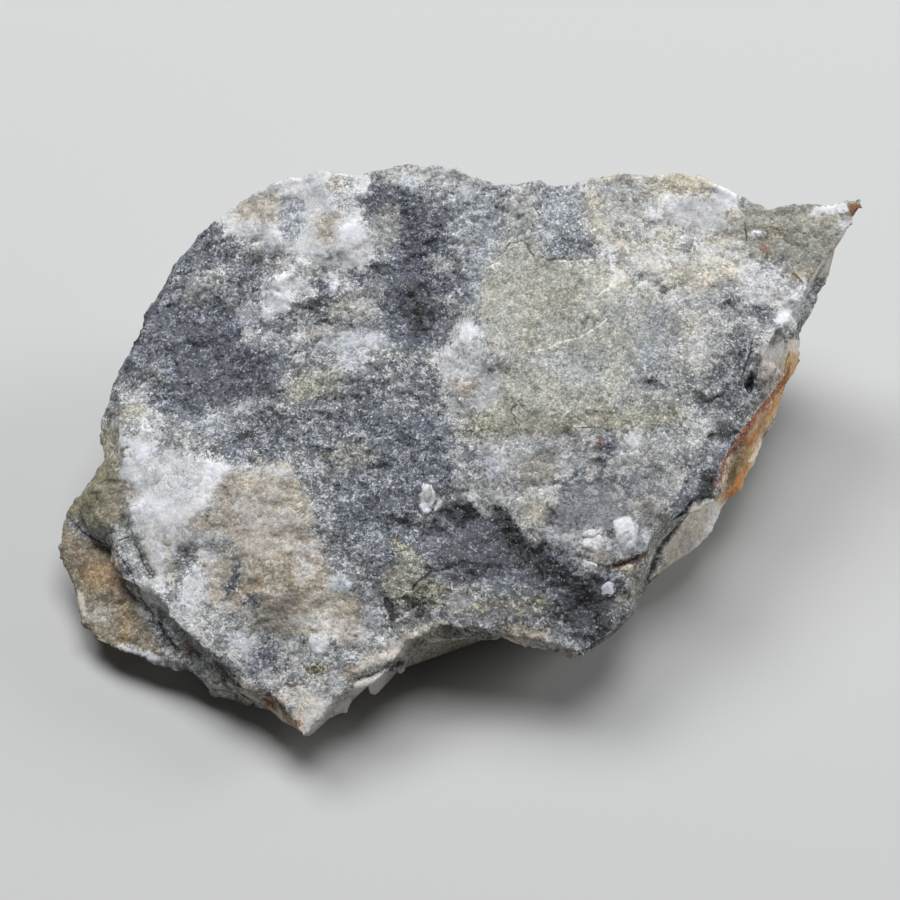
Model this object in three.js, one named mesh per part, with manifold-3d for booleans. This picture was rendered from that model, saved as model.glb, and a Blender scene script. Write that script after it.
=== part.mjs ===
// A hand-sized lump of silver ore: dark acanthite grown through white quartz, with a pale
// clay seam, a rusty rim and a few milky quartz teeth. One natural piece that rests on a
// small flat spot.
//
// Millimetres, +Z up. +X runs along the long side, and the broad broken face tips towards -Y.

import * as THREE from "three";
import { LoftGeometry } from "three/addons/geometries/LoftGeometry.js";
import { ImprovedNoise } from "three/addons/math/ImprovedNoise.js";
import { mergeVertices } from "three/addons/utils/BufferGeometryUtils.js";
import Module from "manifold-3d";

const wasm = await Module();
wasm.setup();

// ---------------------------------------------------------------- driving sizes

// The broad face: its height in the middle, its tilt, and how it falls off at both ends.
const FACE_MIDDLE = 18.5;
const FACE_TILT = 0.37;
const FACE_ROLL = 0.06;
const FACE_CROWN = 0.003;

// Plan point that every outline goes round.
const CORE = [0, 2];

// Spacing of the facets along the flank, over the broad face and under the lump.
const FLANK_STEP = 1.9;
const FACE_STEP = 1.75;
const SOLE_STEP = 2.6;

// How far the flank stands above the broad face before the face is broken out of it.
const CROWN_HEIGHT = 40;

// The flank closes in by this share from its rim to this far below the table, before the
// underside is broken out of it.
const UNDERCUT = 0.84;
const FOOT_DEPTH = 3;

// Broken rock: flat breaks with ledges between them, each with its size and height.
const FLANK_BREAKS = [[12, 2.6], [5.6, 2]];
const FACE_BREAKS = [[9, 0.8], [4.4, 1]];
const SOLE_BREAKS = [[9, 2], [4.6, 1.2]];

// How abruptly one flat break gives way to the next.
const BREAK_SHARPNESS = 16;

// Share of the flank's roughness that is left on the outlines, which hold the true form.
const OUTLINE_ROUGHNESS = 0.15;

// Finer unevenness over the breaks: wave length and height of each step.
const FLANK_ROUGHNESS = [[5, 0.7], [2.8, 0.6]];
const FACE_ROUGHNESS = [[4.4, 0.5], [2.4, 0.5]];
const SOLE_ROUGHNESS = [[4, 0.5]];

// ---------------------------------------------------------------- outlines
// Each goes round counter-clockwise as seen from above, from the right-hand tip.

// Edge of the broad face, in plan.
const EDGE = [
  [42.4, 22], [41.8, 22.9], [36.3, 21.9], [31.5, 20.4], [28.6, 21.4], [25.2, 22.8], [21.8, 23.1],
  [18.5, 22.9], [14.6, 23.8], [12.2, 22.2], [8.6, 21.6], [4.5, 21.8], [0.5, 23.8],
  [-5.1, 24.6], [-9, 23.8], [-14.2, 25], [-18.8, 23.8], [-21.4, 23.1], [-23.6, 21.3],
  [-26, 19.8], [-29, 14.9], [-32, 10.3], [-33.1, 5], [-33, 0], [-32.2, -6],
  [-30.6, -10.4], [-29.2, -14.5], [-27.8, -18.4], [-24.1, -21.5], [-19.6, -25.2], [-16.5, -27],
  [-14, -30.6], [-12.2, -28.8], [-10, -26], [-7.5, -24.9], [-3.7, -22.2], [0, -21.2],
  [4.8, -21.6], [9.7, -22.6], [13, -23.6], [14.8, -21.4], [17, -16.6], [20.4, -11.6],
  [23, -7.2], [25.2, -3.1], [28, 0.6], [30.2, 5], [32.8, 8.8], [35.4, 12.4],
  [37.4, 16], [40.4, 19.4],
];

// Neck of the flank, part of the way down, with its height.
const NECK = [
  [41.4, 22, 21], [40.6, 23, 20.6], [36.5, 24, 17], [30, 24.6, 15.5], [24, 26.5, 16.5], [16, 26.2, 18],
  [8, 25, 15], [0, 26, 17.5], [-8, 27.2, 16], [-15, 26.4, 17], [-21, 24.6, 15],
  [-27, 20.2, 14], [-31, 15, 13.5], [-33, 9.5, 12.5], [-32, 4.4, 11.6], [-32.8, 0.2, 9.8],
  [-37.2, -3, 8], [-36.4, -6, 7], [-33.6, -8, 6.8], [-31.8, -12, 6.2], [-29.6, -16, 5.6],
  [-26.6, -19.6, 5], [-22.8, -22.4, 4.6], [-18, -25.9, 4], [-14, -29.4, 3.6], [-10.4, -25.8, 4.4],
  [-6, -22.6, 6.4], [-1, -20.8, 8], [6, -21.2, 8.2], [12.8, -23, 7.6], [14.4, -20.6, 6.4],
  [17.1, -16.4, 7.5], [20.4, -10.8, 8.5], [24.2, -4.8, 9.4], [27.2, -0.8, 9.2], [28.8, 2.5, 9.6],
  [31, 6.3, 10.5], [34.2, 11, 11.5], [35.6, 16.2, 14], [38, 19.8, 17.4],
];

// Widest line low on the flank, with its height: the rusty rim on the right and the brown
// ledge on the left.
const RIM = [
  [37, 20, 13], [32, 23.5, 9.5], [24, 27.4, 8.5], [12, 26.6, 7.5], [2, 26.2, 8.5],
  [-9, 27.8, 8], [-19, 25.4, 7], [-26, 21, 7.4], [-31, 14.6, 6.4], [-32.2, 7.4, 6],
  [-34.4, 0.6, 6], [-38.6, -4.8, 5.2], [-37.8, -8.6, 4], [-37.1, -12.7, 4], [-35.8, -16.6, 3.6],
  [-32.4, -18.9, 3.4], [-25.8, -21.2, 3.2], [-20.2, -23.2, 2.9], [-15.2, -27, 2], [-11, -25.1, 1.6],
  [-5.4, -20.6, 2.4], [-0.5, -15.6, 3.6], [7, -15.6, 4], [13, -17, 4.4], [16.2, -13.6, 5],
  [20.6, -10.9, 5.2], [25.8, -6.7, 6], [28.3, -0.6, 6.8], [30.6, 3.2, 7.5], [33.9, 9.2, 8.5],
  [36, 13, 9.6], [36.6, 16.4, 10.8],
];

// Planes that the underside is broken along, each [rise along X, rise along Y, height at the
// middle]. Of planes that stand together the lowest counts, and then the highest of all. Where
// every one is below the table lies the small flat spot.
const UNDERSIDE = {
  front: [[0, -0.45, -3.2], [0.9, 0, 13.8]],
  right: [[0.32, 0, -4.5]],
  back: [[0, 0.4, -5.2]],
  left: [[-0.14, 0, -2.2]],
  frontLeft: [[0, -0.07, -0.8]],
};

// ---------------------------------------------------------------- forms on the broad face

// Rises and hollows: middle, half-lengths, turn in degrees, height, and how steep the side
// is, from 0 (a round mound) to 1 (a flat step).
const FORMS = [
  { name: "clay seam", at: [15, 7.5], size: [13.5, 11.5], turn: 15, rise: 0.9, step: 0.8 },
  { name: "ridge along the back", at: [6, 22], size: [20, 3.4], turn: 0, rise: 0.5, step: 0.2 },
  { name: "right-hand slope", at: [32, 7], size: [5, 12], turn: -28, rise: -1, step: 0.3 },
  { name: "white boss", at: [32.2, 6.4], size: [2.1, 3.2], turn: -25, rise: 1.6, step: 0.5 },
  { name: "dark hollow, middle", at: [-3.4, 11.5], size: [3.6, 9.5], turn: 5, rise: -0.9, step: 0.3 },
  { name: "dark hollow, left", at: [-24, 5], size: [7, 5.5], turn: 30, rise: -0.8, step: 0.2 },
  { name: "quartz swell, top left", at: [-11, 19.5], size: [3, 4], turn: 0, rise: 0.8, step: 0.3 },
  { name: "quartz patch", at: [-16.4, 14], size: [2.8, 2.2], turn: 20, rise: 0.7, step: 0.4 },
  { name: "quartz corner, left", at: [-27, -5], size: [6.5, 4.5], turn: -35, rise: 0.9, step: 0.3 },
  { name: "tan swell", at: [-17, -11], size: [7.5, 6.5], turn: -20, rise: 0.9, step: 0.4 },
  { name: "grey dip", at: [-21, -18], size: [2.6, 6], turn: 40, rise: -0.8, step: 0.2 },
  { name: "long middle hollow", at: [-6, -4], size: [8, 7], turn: -10, rise: -0.7, step: 0.3 },
  { name: "step by the flake", at: [3.5, -12], size: [5.8, 5.6], turn: 10, rise: -0.9, step: 0.7 },
  { name: "green pocket", at: [-3.6, -18.4], size: [3.6, 2.8], turn: 0, rise: -0.8, step: 0.3 },
  { name: "dark corner", at: [13.4, -20], size: [3.6, 3.2], turn: 50, rise: -1, step: 0.3 },
  { name: "quartz run, right", at: [19.6, -8], size: [4.4, 8], turn: -35, rise: 0.6, step: 0.4 },
  { name: "cream bump", at: [22.6, 21.6], size: [3.4, 2.4], turn: -20, rise: 0.7, step: 0.4 },
  { name: "tip slope", at: [36, 18.6], size: [5, 3], turn: 25, rise: -0.6, step: 0.3 },
];

// Single quartz crystals that stand out of the broad face: plan place, length, width, how far
// they stand out, and which way they lie.
const CRYSTALS = [
  { at: [1.8, 7.2], length: 3, width: 2.2, stand: 0.7, turn: 70 },
  { at: [-0.2, 5.2], length: 2.4, width: 1.8, stand: 0.7, turn: 20 },
  { at: [4.2, 4.4], length: 2.8, width: 2, stand: 0.6, turn: 100 },
  { at: [2.4, 2], length: 3, width: 2.2, stand: 0.6, turn: 40 },
  { at: [-1.4, -9.2], length: 3.6, width: 1.6, stand: 0.7, turn: 62 },
  { at: [13.6, -13.4], length: 2.6, width: 2.2, stand: 0.7, turn: 10 },
  { at: [13.9, -15.4], length: 2.2, width: 1.8, stand: 0.7, turn: 80 },
  { at: [17.2, -12.6], length: 3.4, width: 2.4, stand: 0.8, turn: 80 },
  { at: [15.2, -17.2], length: 2.8, width: 2, stand: 0.8, turn: 30 },
  { at: [-11.4, -20.8], length: 3, width: 2.2, stand: 0.7, turn: 10 },
];

// Patches of blocky quartz that broke along flat faces: middle, reach, how many blocks, and
// the length of one.
const BLOCK_PATCHES = [
  { name: "white knobs", at: [2, 4.5], reach: 4.4, count: 4, length: 2.6 },
  { name: "back left", at: [-11.5, 19.5], reach: 3.8, count: 5, length: 3.4 },
  { name: "back left corner", at: [-18.5, 20.6], reach: 2.8, count: 3, length: 3 },
  { name: "left patch", at: [-16.4, 13.6], reach: 2.2, count: 3, length: 3.2 },
  { name: "left corner", at: [-27, -5], reach: 4.6, count: 6, length: 3.6 },
  { name: "tan swell", at: [-17, -11.5], reach: 6, count: 5, length: 3.4 },
  { name: "front left", at: [-17, -22], reach: 4, count: 3, length: 3 },
  { name: "front right", at: [15.6, -15], reach: 3.4, count: 4, length: 2.8 },
  { name: "right run", at: [20, -7], reach: 4, count: 4, length: 3.2 },
  { name: "middle right", at: [7, -7], reach: 4.6, count: 3, length: 3 },
  { name: "back right", at: [24.4, 18.6], reach: 4.4, count: 4, length: 3.6 },
  { name: "right shoulder", at: [32, 12.4], reach: 3, count: 3, length: 3 },
];

// A block of a patch: how far its middle stands out of the face, how far it may be tipped,
// its width and thickness as shares of its length, and how much blocks differ.
const BLOCK_STAND = 0.25;
const BLOCK_TIP = 0.5;
const BLOCK_WIDTH = 0.7;
const BLOCK_THICKNESS = 0.6;
const BLOCK_VARIETY = 0.25;

// Width of the small end of a block or crystal over that of its big end.
const CRYSTAL_TAPER = 0.76;

// How far a single crystal may be tipped.
const CRYSTAL_TIP = 0.2;

// Milky quartz teeth under the front left corner: width, root inside the rock, and tip.
const TEETH = [
  { width: 5.4, root: [-16, -20.6, 5.6], tip: [-13.4, -28.8, 2.8] },
  { width: 5, root: [-12.9, -18.4, 6], tip: [-10.1, -26.3, 3.1] },
  { width: 4.8, root: [-10, -16.6, 6.8], tip: [-7.2, -24.5, 3.8] },
  { width: 4, root: [-7.4, -15, 6.6], tip: [-4.6, -22.2, 4.2] },
];

// Roll of every tooth about its own length, which turns a flat face upwards.
const TOOTH_ROLL = 0.5;

// Small pits in the broad face: plan place, radius and depth.
const PITS = [
  { at: [29.8, 3.4], radius: 0.5, depth: 2 },
  { at: [-20.2, -24.2], radius: 0.7, depth: 1.4 },
  { at: [-23.6, -20.6], radius: 0.5, depth: 1.2 },
  { at: [25.6, -2.6], radius: 0.7, depth: 1.4 },
  { at: [-21.4, 0.2], radius: 0.8, depth: 1 },
  { at: [-12.2, -2.8], radius: 0.8, depth: 1 },
];

// ---------------------------------------------------------------- helpers

const noise = new ImprovedNoise();

/** A fixed chance number from -1 to 1 for a cell of space. */
function chance(i, j, k, pick) {
  const value = Math.sin(i * 127.1 + j * 311.7 + k * 74.7 + pick * 53.3) * 43758.5453;
  return (value - Math.floor(value)) * 2 - 1;
}

/** Height of broken rock at a point: each cell of space has a small flat plane of its own. */
function breaks(size, height, x, y, z) {
  const home = [x, y, z].map((v) => Math.floor(v / size));
  const planes = [];
  for (let cell = 0; cell < 27; cell++) {
    const i = home[0] + (cell % 3) - 1;
    const j = home[1] + (Math.floor(cell / 3) % 3) - 1;
    const k = home[2] + Math.floor(cell / 9) - 1;
    const dx = x / size - i - 0.5 - 0.4 * chance(i, j, k, 1);
    const dy = y / size - j - 0.5 - 0.4 * chance(i, j, k, 2);
    const dz = z / size - k - 0.5 - 0.4 * chance(i, j, k, 3);
    const slope = dx * chance(i, j, k, 4) + dy * chance(i, j, k, 5) + dz * chance(i, j, k, 6);
    planes.push({ distance: Math.hypot(dx, dy, dz), rise: 0.5 * chance(i, j, k, 7) + slope });
  }
  let total = 0;
  let weight = 0;
  for (const { distance, rise } of planes) {
    const share = Math.exp(-BREAK_SHARPNESS * distance);
    total += share * rise;
    weight += share;
  }
  return height * total / weight;
}

/** Roughness at a point, from its flat breaks and its finer waves. */
function roughness(breakSteps, waveSteps, x, y, z) {
  let total = 0;
  for (const [size, height] of breakSteps) total += breaks(size, height, x, y, z);
  for (const [wave, height] of waveSteps) {
    total += height * noise.noise(x / wave + 7.3, y / wave + 3.1, z / wave + 5.7);
  }
  return total;
}

/** A geometry as a closed manifold solid. */
function solid(geometry) {
  const bare = new THREE.BufferGeometry();
  bare.setAttribute("position", geometry.getAttribute("position"));
  bare.setIndex(geometry.getIndex());
  const merged = mergeVertices(bare, 1e-5);
  return new wasm.Manifold(new wasm.Mesh({
    numProp: 3,
    vertProperties: new Float32Array(merged.getAttribute("position").array),
    triVerts: new Uint32Array(merged.getIndex().array),
  }));
}

/** A plan offset turned back into the axes of a form that lies at an angle. */
function turned(dx, dy, degrees) {
  const angle = THREE.MathUtils.degToRad(degrees);
  return [dx * Math.cos(angle) + dy * Math.sin(angle), dy * Math.cos(angle) - dx * Math.sin(angle)];
}

/** Height that one rise or hollow adds at a plan point. */
function formHeight({ at, size, turn, rise, step }, x, y) {
  const [along, across] = turned(x - at[0], y - at[1], turn);
  const wobble = 1 + 0.25 * noise.noise(x / 4, y / 4, rise);
  const reach = Math.hypot(along / size[0], across / size[1]) * wobble;
  return rise * (1 - THREE.MathUtils.smoothstep(reach, step, 2 - step));
}

/** Height of the broad face above the table. */
function faceHeight(x, y) {
  let height = FACE_MIDDLE + FACE_TILT * y + FACE_ROLL * x - FACE_CROWN * x * x;
  for (const form of FORMS) height += formHeight(form, x, y);
  return height + roughness(FACE_BREAKS, FACE_ROUGHNESS, x, y, 0);
}

/** Height of the underside above the table: 0 over the flat spot. */
function undersideHeight(x, y) {
  const rises = Object.values(UNDERSIDE).map(
    (planes) => Math.min(...planes.map(([alongX, alongY, middle]) => alongX * x + alongY * y + middle)));
  return Math.max(0, Math.max(...rises) + roughness(SOLE_BREAKS, SOLE_ROUGHNESS, x, y, 0));
}

/** Bearing of a plan point from the core. */
function bearing([x, y]) {
  return Math.atan2(y - CORE[1], x - CORE[0]);
}

/** Point of an outline on a given bearing from the core. */
function crossing(outline, angle) {
  const aim = new THREE.Vector2(Math.cos(angle), Math.sin(angle));
  for (let i = 0; i < outline.length; i++) {
    const start = new THREE.Vector3(...outline[i]);
    const end = new THREE.Vector3(...outline[(i + 1) % outline.length]);
    const from = new THREE.Vector2(start.x - CORE[0], start.y - CORE[1]);
    const to = new THREE.Vector2(end.x - CORE[0], end.y - CORE[1]);
    const sideFrom = aim.cross(from);
    const sideTo = aim.cross(to);
    if (sideFrom > 0 || sideTo <= 0) continue;
    const share = sideFrom / (sideFrom - sideTo);
    if (from.lerp(to, share).dot(aim) > 0) return new THREE.Vector3().lerpVectors(start, end, share);
  }
  throw new Error("an outline does not go round the core");
}

/** Bearings of the flank's columns: every corner of the edge, and even steps between. */
function columnBearings() {
  const bearings = [];
  EDGE.forEach(([x, y], i) => {
    const [nextX, nextY] = EDGE[(i + 1) % EDGE.length];
    const steps = Math.max(1, Math.round(Math.hypot(nextX - x, nextY - y) / FLANK_STEP));
    for (let s = 0; s < steps; s++) {
      bearings.push(bearing([x + (nextX - x) * s / steps, y + (nextY - y) * s / steps]));
    }
  });
  return bearings;
}

/** A point of the flank moved by its roughness, out from the core and down by the lean. */
function roughened(point, leanDegrees, share) {
  const lean = THREE.MathUtils.degToRad(leanDegrees);
  const out = new THREE.Vector3(point.x - CORE[0], point.y - CORE[1], 0).normalize();
  out.multiplyScalar(Math.cos(lean)).setZ(-Math.sin(lean));
  const push = roughness(FLANK_BREAKS, FLANK_ROUGHNESS, point.x, point.y, point.z);
  return point.clone().addScaledVector(out, push * share);
}

// ---------------------------------------------------------------- the lump

/** The flank all round, before the broad face and the underside are broken out of it. */
function makeFlank() {
  const angles = columnBearings();
  const foot = RIM.map(([x, y]) => [
    THREE.MathUtils.lerp(CORE[0], x, UNDERCUT), THREE.MathUtils.lerp(CORE[1], y, UNDERCUT), -FOOT_DEPTH,
  ]);
  const edge = EDGE.map(([x, y]) => [x, y, faceHeight(x, y)]);
  const rings = [foot, RIM, NECK, edge].map((outline) => angles.map((angle) => crossing(outline, angle)));
  const leans = [50, 20, 0, 0];
  const rows = [4, 3, 4];
  const sections = [];
  rows.forEach((count, level) => {
    for (let row = 0; row < count; row++) {
      const share = row / count;
      const lean = THREE.MathUtils.lerp(leans[level], leans[level + 1], share);
      const rough = row === 0 ? OUTLINE_ROUGHNESS : 1;
      sections.push(rings[level].map((point, i) => {
        const between = new THREE.Vector3().lerpVectors(point, rings[level + 1][i], share);
        return roughened(between, lean, rough);
      }));
    }
  });
  const top = rings[rings.length - 1].map((point) => roughened(point, 0, OUTLINE_ROUGHNESS));
  sections.push(top, top.map((point) => point.clone().setZ(CROWN_HEIGHT)));
  return solid(new LoftGeometry(sections, { capStart: true, capEnd: true }));
}

/** Block with one rough side: over the lump it breaks out the face, under it the underside. */
function makeBreaker(step, heightAt, farSide) {
  const width = 96;
  const depth = 72;
  const above = farSide > 0;
  const block = new THREE.BoxGeometry(
    width, depth, 2, Math.round(width / step), Math.round(depth / step), 1);
  const position = block.getAttribute("position");
  const jitter = step * 0.7;
  for (let i = 0; i < position.count; i++) {
    const x = position.getX(i);
    const y = position.getY(i);
    if (position.getZ(i) > 0 === above) {
      position.setZ(i, farSide);
      continue;
    }
    const shiftedX = x + jitter * noise.noise(x * 0.83, y * 0.83, 1.5);
    const shiftedY = y + jitter * noise.noise(x * 0.83, y * 0.83, 9.5);
    position.setXYZ(i, shiftedX, shiftedY, heightAt(shiftedX, shiftedY));
  }
  return solid(block);
}

/** A block laid on the slope of the broad face, so that its top stands out by a given height. */
function laid(block, [x, y], stand, thickness, turn) {
  block.rotateZ(THREE.MathUtils.degToRad(turn));
  block.rotateX(Math.atan(FACE_TILT));
  block.translate(x, y, faceHeight(x, y) + stand - thickness / 2);
  return solid(block);
}

/** A six-sided quartz crystal that lies on its side, half sunk in the broad face. */
function makeCrystal({ at, length, width, stand, turn }) {
  const crystal = new THREE.CylinderGeometry(width / 2 * CRYSTAL_TAPER, width / 2, length, 6);
  crystal.rotateZ(Math.PI / 2);
  crystal.rotateY(CRYSTAL_TIP * chance(length, width, turn, 8));
  return laid(crystal, at, stand, width, turn);
}

/** The blocks of one patch, spread round its middle, each tipped and turned its own way. */
function makeBlocks({ at, reach, count, length }) {
  const blocks = [];
  const goldenAngle = Math.PI * (3 - Math.sqrt(5));
  for (let n = 0; n < count; n++) {
    const away = reach * Math.sqrt((n + 0.5) / count);
    const angle = n * goldenAngle + at[0];
    const place = [at[0] + away * Math.cos(angle), at[1] + away * Math.sin(angle)];
    const long = length * (1 + BLOCK_VARIETY * chance(n, count, 0, 8));
    const wide = long * BLOCK_WIDTH * (1 + BLOCK_VARIETY * chance(n, count, 1, 8));
    const thickness = long * BLOCK_THICKNESS;
    const block = new THREE.CylinderGeometry(wide / 2 * CRYSTAL_TAPER, wide / 2, thickness, 5);
    block.scale(1, 1, long / wide);
    block.rotateX(Math.PI / 2 + BLOCK_TIP * chance(n, count, 1, 9));
    block.rotateY(BLOCK_TIP * chance(n, count, 2, 9));
    blocks.push(laid(block, place, BLOCK_STAND, thickness, 180 * chance(n, count, 3, 9)));
  }
  return blocks;
}

/** A six-sided quartz tooth with a blunt point, from its root to its tip. */
function makeTooth({ width, root, tip }) {
  const start = new THREE.Vector3(...root);
  const end = new THREE.Vector3(...tip);
  const length = start.distanceTo(end);
  const outline = [
    new THREE.Vector2(0, 0),
    new THREE.Vector2(width / 2, 0),
    new THREE.Vector2(width / 2, length - width * 0.45),
    new THREE.Vector2(0, length),
  ];
  const tooth = new THREE.LatheGeometry(outline, 6);
  tooth.rotateY(TOOTH_ROLL);
  const up = new THREE.Vector3(0, 1, 0);
  const aim = end.clone().sub(start).normalize();
  tooth.applyQuaternion(new THREE.Quaternion().setFromUnitVectors(up, aim));
  tooth.translate(...root);
  return solid(tooth);
}

/** A pointed pit, cut down into the broad face. */
function makePit({ at, radius, depth }) {
  const lift = 1.5;
  const height = depth + lift;
  const pit = new THREE.ConeGeometry(radius * height / depth, height, 6);
  pit.rotateX(-Math.PI / 2);
  pit.translate(at[0], at[1], faceHeight(at[0], at[1]) - depth + height / 2);
  return solid(pit);
}

/** The finished lump without loose crumbs, centred over the middle of its own plan box. */
function makeLump() {
  let lump = makeFlank()
    .subtract(makeBreaker(FACE_STEP, faceHeight, CROWN_HEIGHT * 2))
    .subtract(makeBreaker(SOLE_STEP, undersideHeight, -CROWN_HEIGHT));
  for (const patch of BLOCK_PATCHES) {
    for (const block of makeBlocks(patch)) lump = lump.add(block);
  }
  for (const crystal of CRYSTALS) lump = lump.add(makeCrystal(crystal));
  for (const tooth of TEETH) lump = lump.add(makeTooth(tooth));
  for (const pit of PITS) lump = lump.subtract(makePit(pit));
  const pieces = lump.decompose();
  const mesh = pieces.sort((a, b) => b.volume() - a.volume())[0].getMesh();
  const geometry = new THREE.BufferGeometry();
  geometry.setAttribute("position", new THREE.BufferAttribute(mesh.vertProperties, 3));
  geometry.setIndex(new THREE.BufferAttribute(mesh.triVerts, 1));
  geometry.computeBoundingBox();
  const middle = geometry.boundingBox.getCenter(new THREE.Vector3());
  geometry.translate(-middle.x, -middle.y, -geometry.boundingBox.min.z);
  return geometry;
}

const stone = new THREE.MeshStandardMaterial({
  name: "ore", color: 0x8c8f90, roughness: 0.8, metalness: 0, flatShading: true,
});

const lump = new THREE.Mesh(makeLump(), stone);
lump.name = "ore_lump";

const specimen = new THREE.Group();
specimen.name = "acanthite_specimen";
specimen.add(lump);

export default specimen;
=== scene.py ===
"""Acanthite specimen: a rough broken lump of silver ore, dark acanthite through white quartz.

One stone is one piece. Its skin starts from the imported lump, gets finer broken relief, and takes its
colours from the masses of mineral that run through it. Lengths in the tables are millimetres.
"""

import math
import random

import bmesh
import bpy
import numpy as np
from bpy.props import FloatProperty, FloatVectorProperty, IntProperty, PointerProperty
from mathutils import Matrix, Vector, noise
from mathutils.bvhtree import BVHTree


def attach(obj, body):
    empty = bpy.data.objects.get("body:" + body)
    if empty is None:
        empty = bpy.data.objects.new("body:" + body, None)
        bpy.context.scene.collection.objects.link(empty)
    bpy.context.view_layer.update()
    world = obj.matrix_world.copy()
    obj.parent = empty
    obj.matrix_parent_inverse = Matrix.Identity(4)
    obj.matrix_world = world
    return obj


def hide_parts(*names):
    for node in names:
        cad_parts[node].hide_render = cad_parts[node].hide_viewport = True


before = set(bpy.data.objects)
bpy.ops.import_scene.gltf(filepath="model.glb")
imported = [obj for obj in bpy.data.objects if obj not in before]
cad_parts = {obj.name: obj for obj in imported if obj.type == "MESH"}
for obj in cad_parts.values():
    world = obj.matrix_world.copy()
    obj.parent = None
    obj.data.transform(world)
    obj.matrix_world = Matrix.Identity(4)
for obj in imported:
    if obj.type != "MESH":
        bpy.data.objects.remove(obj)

bl_info = {
    "name": "Acanthite specimen",
    "version": (1, 0, 0),
    "blender": (4, 5, 0),
    "location": "View3D > Sidebar > Specimen",
    "description": "Builds a rough lump of silver ore with quartz, clay and a rusty rim",
    "category": "Object",
}

MM = 0.001

# The point that the camera looks at, how far off it stands and how high over the horizon, and its lens.
EYE_TARGET = Vector((-1.296, 1.036, 12.0))
EYE_RANGE = 300.0
EYE_HEIGHT = math.radians(50)
EYE_LENS = 120
EYE_SENSOR = 36
LOOK = np.array([0, math.cos(EYE_HEIGHT), -math.sin(EYE_HEIGHT)])
UP = np.array([0, math.sin(EYE_HEIGHT), math.cos(EYE_HEIGHT)])
EYE = np.array(EYE_TARGET) - EYE_RANGE * LOOK

# The broad face: the height of its middle, its slopes to the back and to the right, how it falls off at
# both ends, and its own direction.
FACE_MIDDLE = 18.5
FACE_TILT = 0.37
FACE_ROLL = 0.06
FACE_CROWN = 0.003
FACE_NORMAL = np.array((-0.06, -0.36, 0.93))

# Rounds of smoothing that settle the whole skin, and that take the small dents out of the broad face.
# A point belongs to that face by its own direction, and by how many points around it do.
SETTLE_ROUNDS = 16
SOFT_ROUNDS = 46
ON_FACE = (0.7, 0.88)
AMONG_FACE = (0.6, 0.95)

# Steps of the broken relief: setting, seed and share of the height. It fades out near the flat spot.
BREAK_STEPS = (("coarse_break", 401, 1.0), ("middle_break", 431, 0.6), ("fine_break", 461, 0.38))
FOOT_FADE = 1.2

# What makes the edge of a mass ragged: share, size and seed of smooth lumps and of angular chips. And
# the furthest that they move it, as a share of its raggedness.
RAGGED_LUMPS = (0.8, 2.6, 11)
RAGGED_CHIPS = ((0.45, 1.2, 91), (0.35, 0.6, 96))
RAGGED_MOST = 1.4

# An oval has this many sizes.
OVAL_SIZES = 5

# How far from its middle a crack's distance is kept, and how far and in what steps its path wanders.
LINE_REACH = 0.9
LINE_WANDER = 0.09
LINE_WANDER_SIZE = 0.8
LINE_SEEDS = (501, 511)

# The masses show as laid out where the skin faces the eye this squarely. Elsewhere they go on into the
# stone, wandering, and give way to the masses inside it over a depth.
SEEN = (-0.08, 0.06)
WANDER_SIZE = 5.0
WANDER_SEED = 31
WANDER_ACROSS = 2.2
WANDER_DOWN = 2.5
BURIED = (3.0, 9.0)
INNER_STRETCH = np.array([0.8, 0.8, 1.5])
SOLE_FACING = (0.25, 0.75)

# Steps in which the sides that are turned down give up their triangles, and the merging distance in m.
THIN_STEPS = 6
MERGE_WITHIN = 2e-6

# The size of one crystal grain in the skin, the height of its bump in m, the lightest that a grain gets,
# and the colour of a painted glint, a highlight put into the colour of rare grains. The layers of
# grains: name, how much finer each is, and its shift.
GRAIN_SIZE = 0.26
GRAIN_BUMP = 0.00012
LIGHTEST = (0.86, 0.86, 0.87)
PAINTED_GLINT = (0.72, 0.73, 0.75, 1)
GRAIN_LAYERS = {"tiny": (1.75, 7.7), "fine": (1.0, 3.1), "middle": (0.5, 17.3), "coarse": (0.22, 31.7)}

# Single quartz grains: flat faces on each, how far out they lie, unevenness, its wave, and first seed.
GRAIN_FACES = 9
GRAIN_FACE_OUT = (0.5, 0.8)
GRAIN_UNEVEN = 0.16
GRAIN_WAVE = 2.3
GRAIN_SEED = 900
GRAIN_SHARP = math.radians(38)

# Lamps: name, place and width in m. Their powers are settings of the stage.
LAMPS = (("key", (-0.22, 0.30, 0.55), 0.38), ("top", (0.08, 0.13, 0.74), 0.42),
         ("fill", (0.5, 0.14, 0.22), 0.3))
LAMP_COLOUR = (0.97, 0.985, 1.0)
SKY_COLOUR = (0.95, 0.98, 1.0, 1)

# What the skin and the grains hand to their material at each corner of the mesh.
PAINTED = ("light", "dark", "share", "speck", "grit", "gloss", "side", "width", "ink")

# What a mineral sets at a point: the colours of its light and its dark grains, the share of light ones,
# fine specks, coarse grit, gloss, share of the broken relief, and rise above the face.
FIELDS = ("light", "dark", "share", "speck", "grit", "gloss", "relief", "rise")

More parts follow.
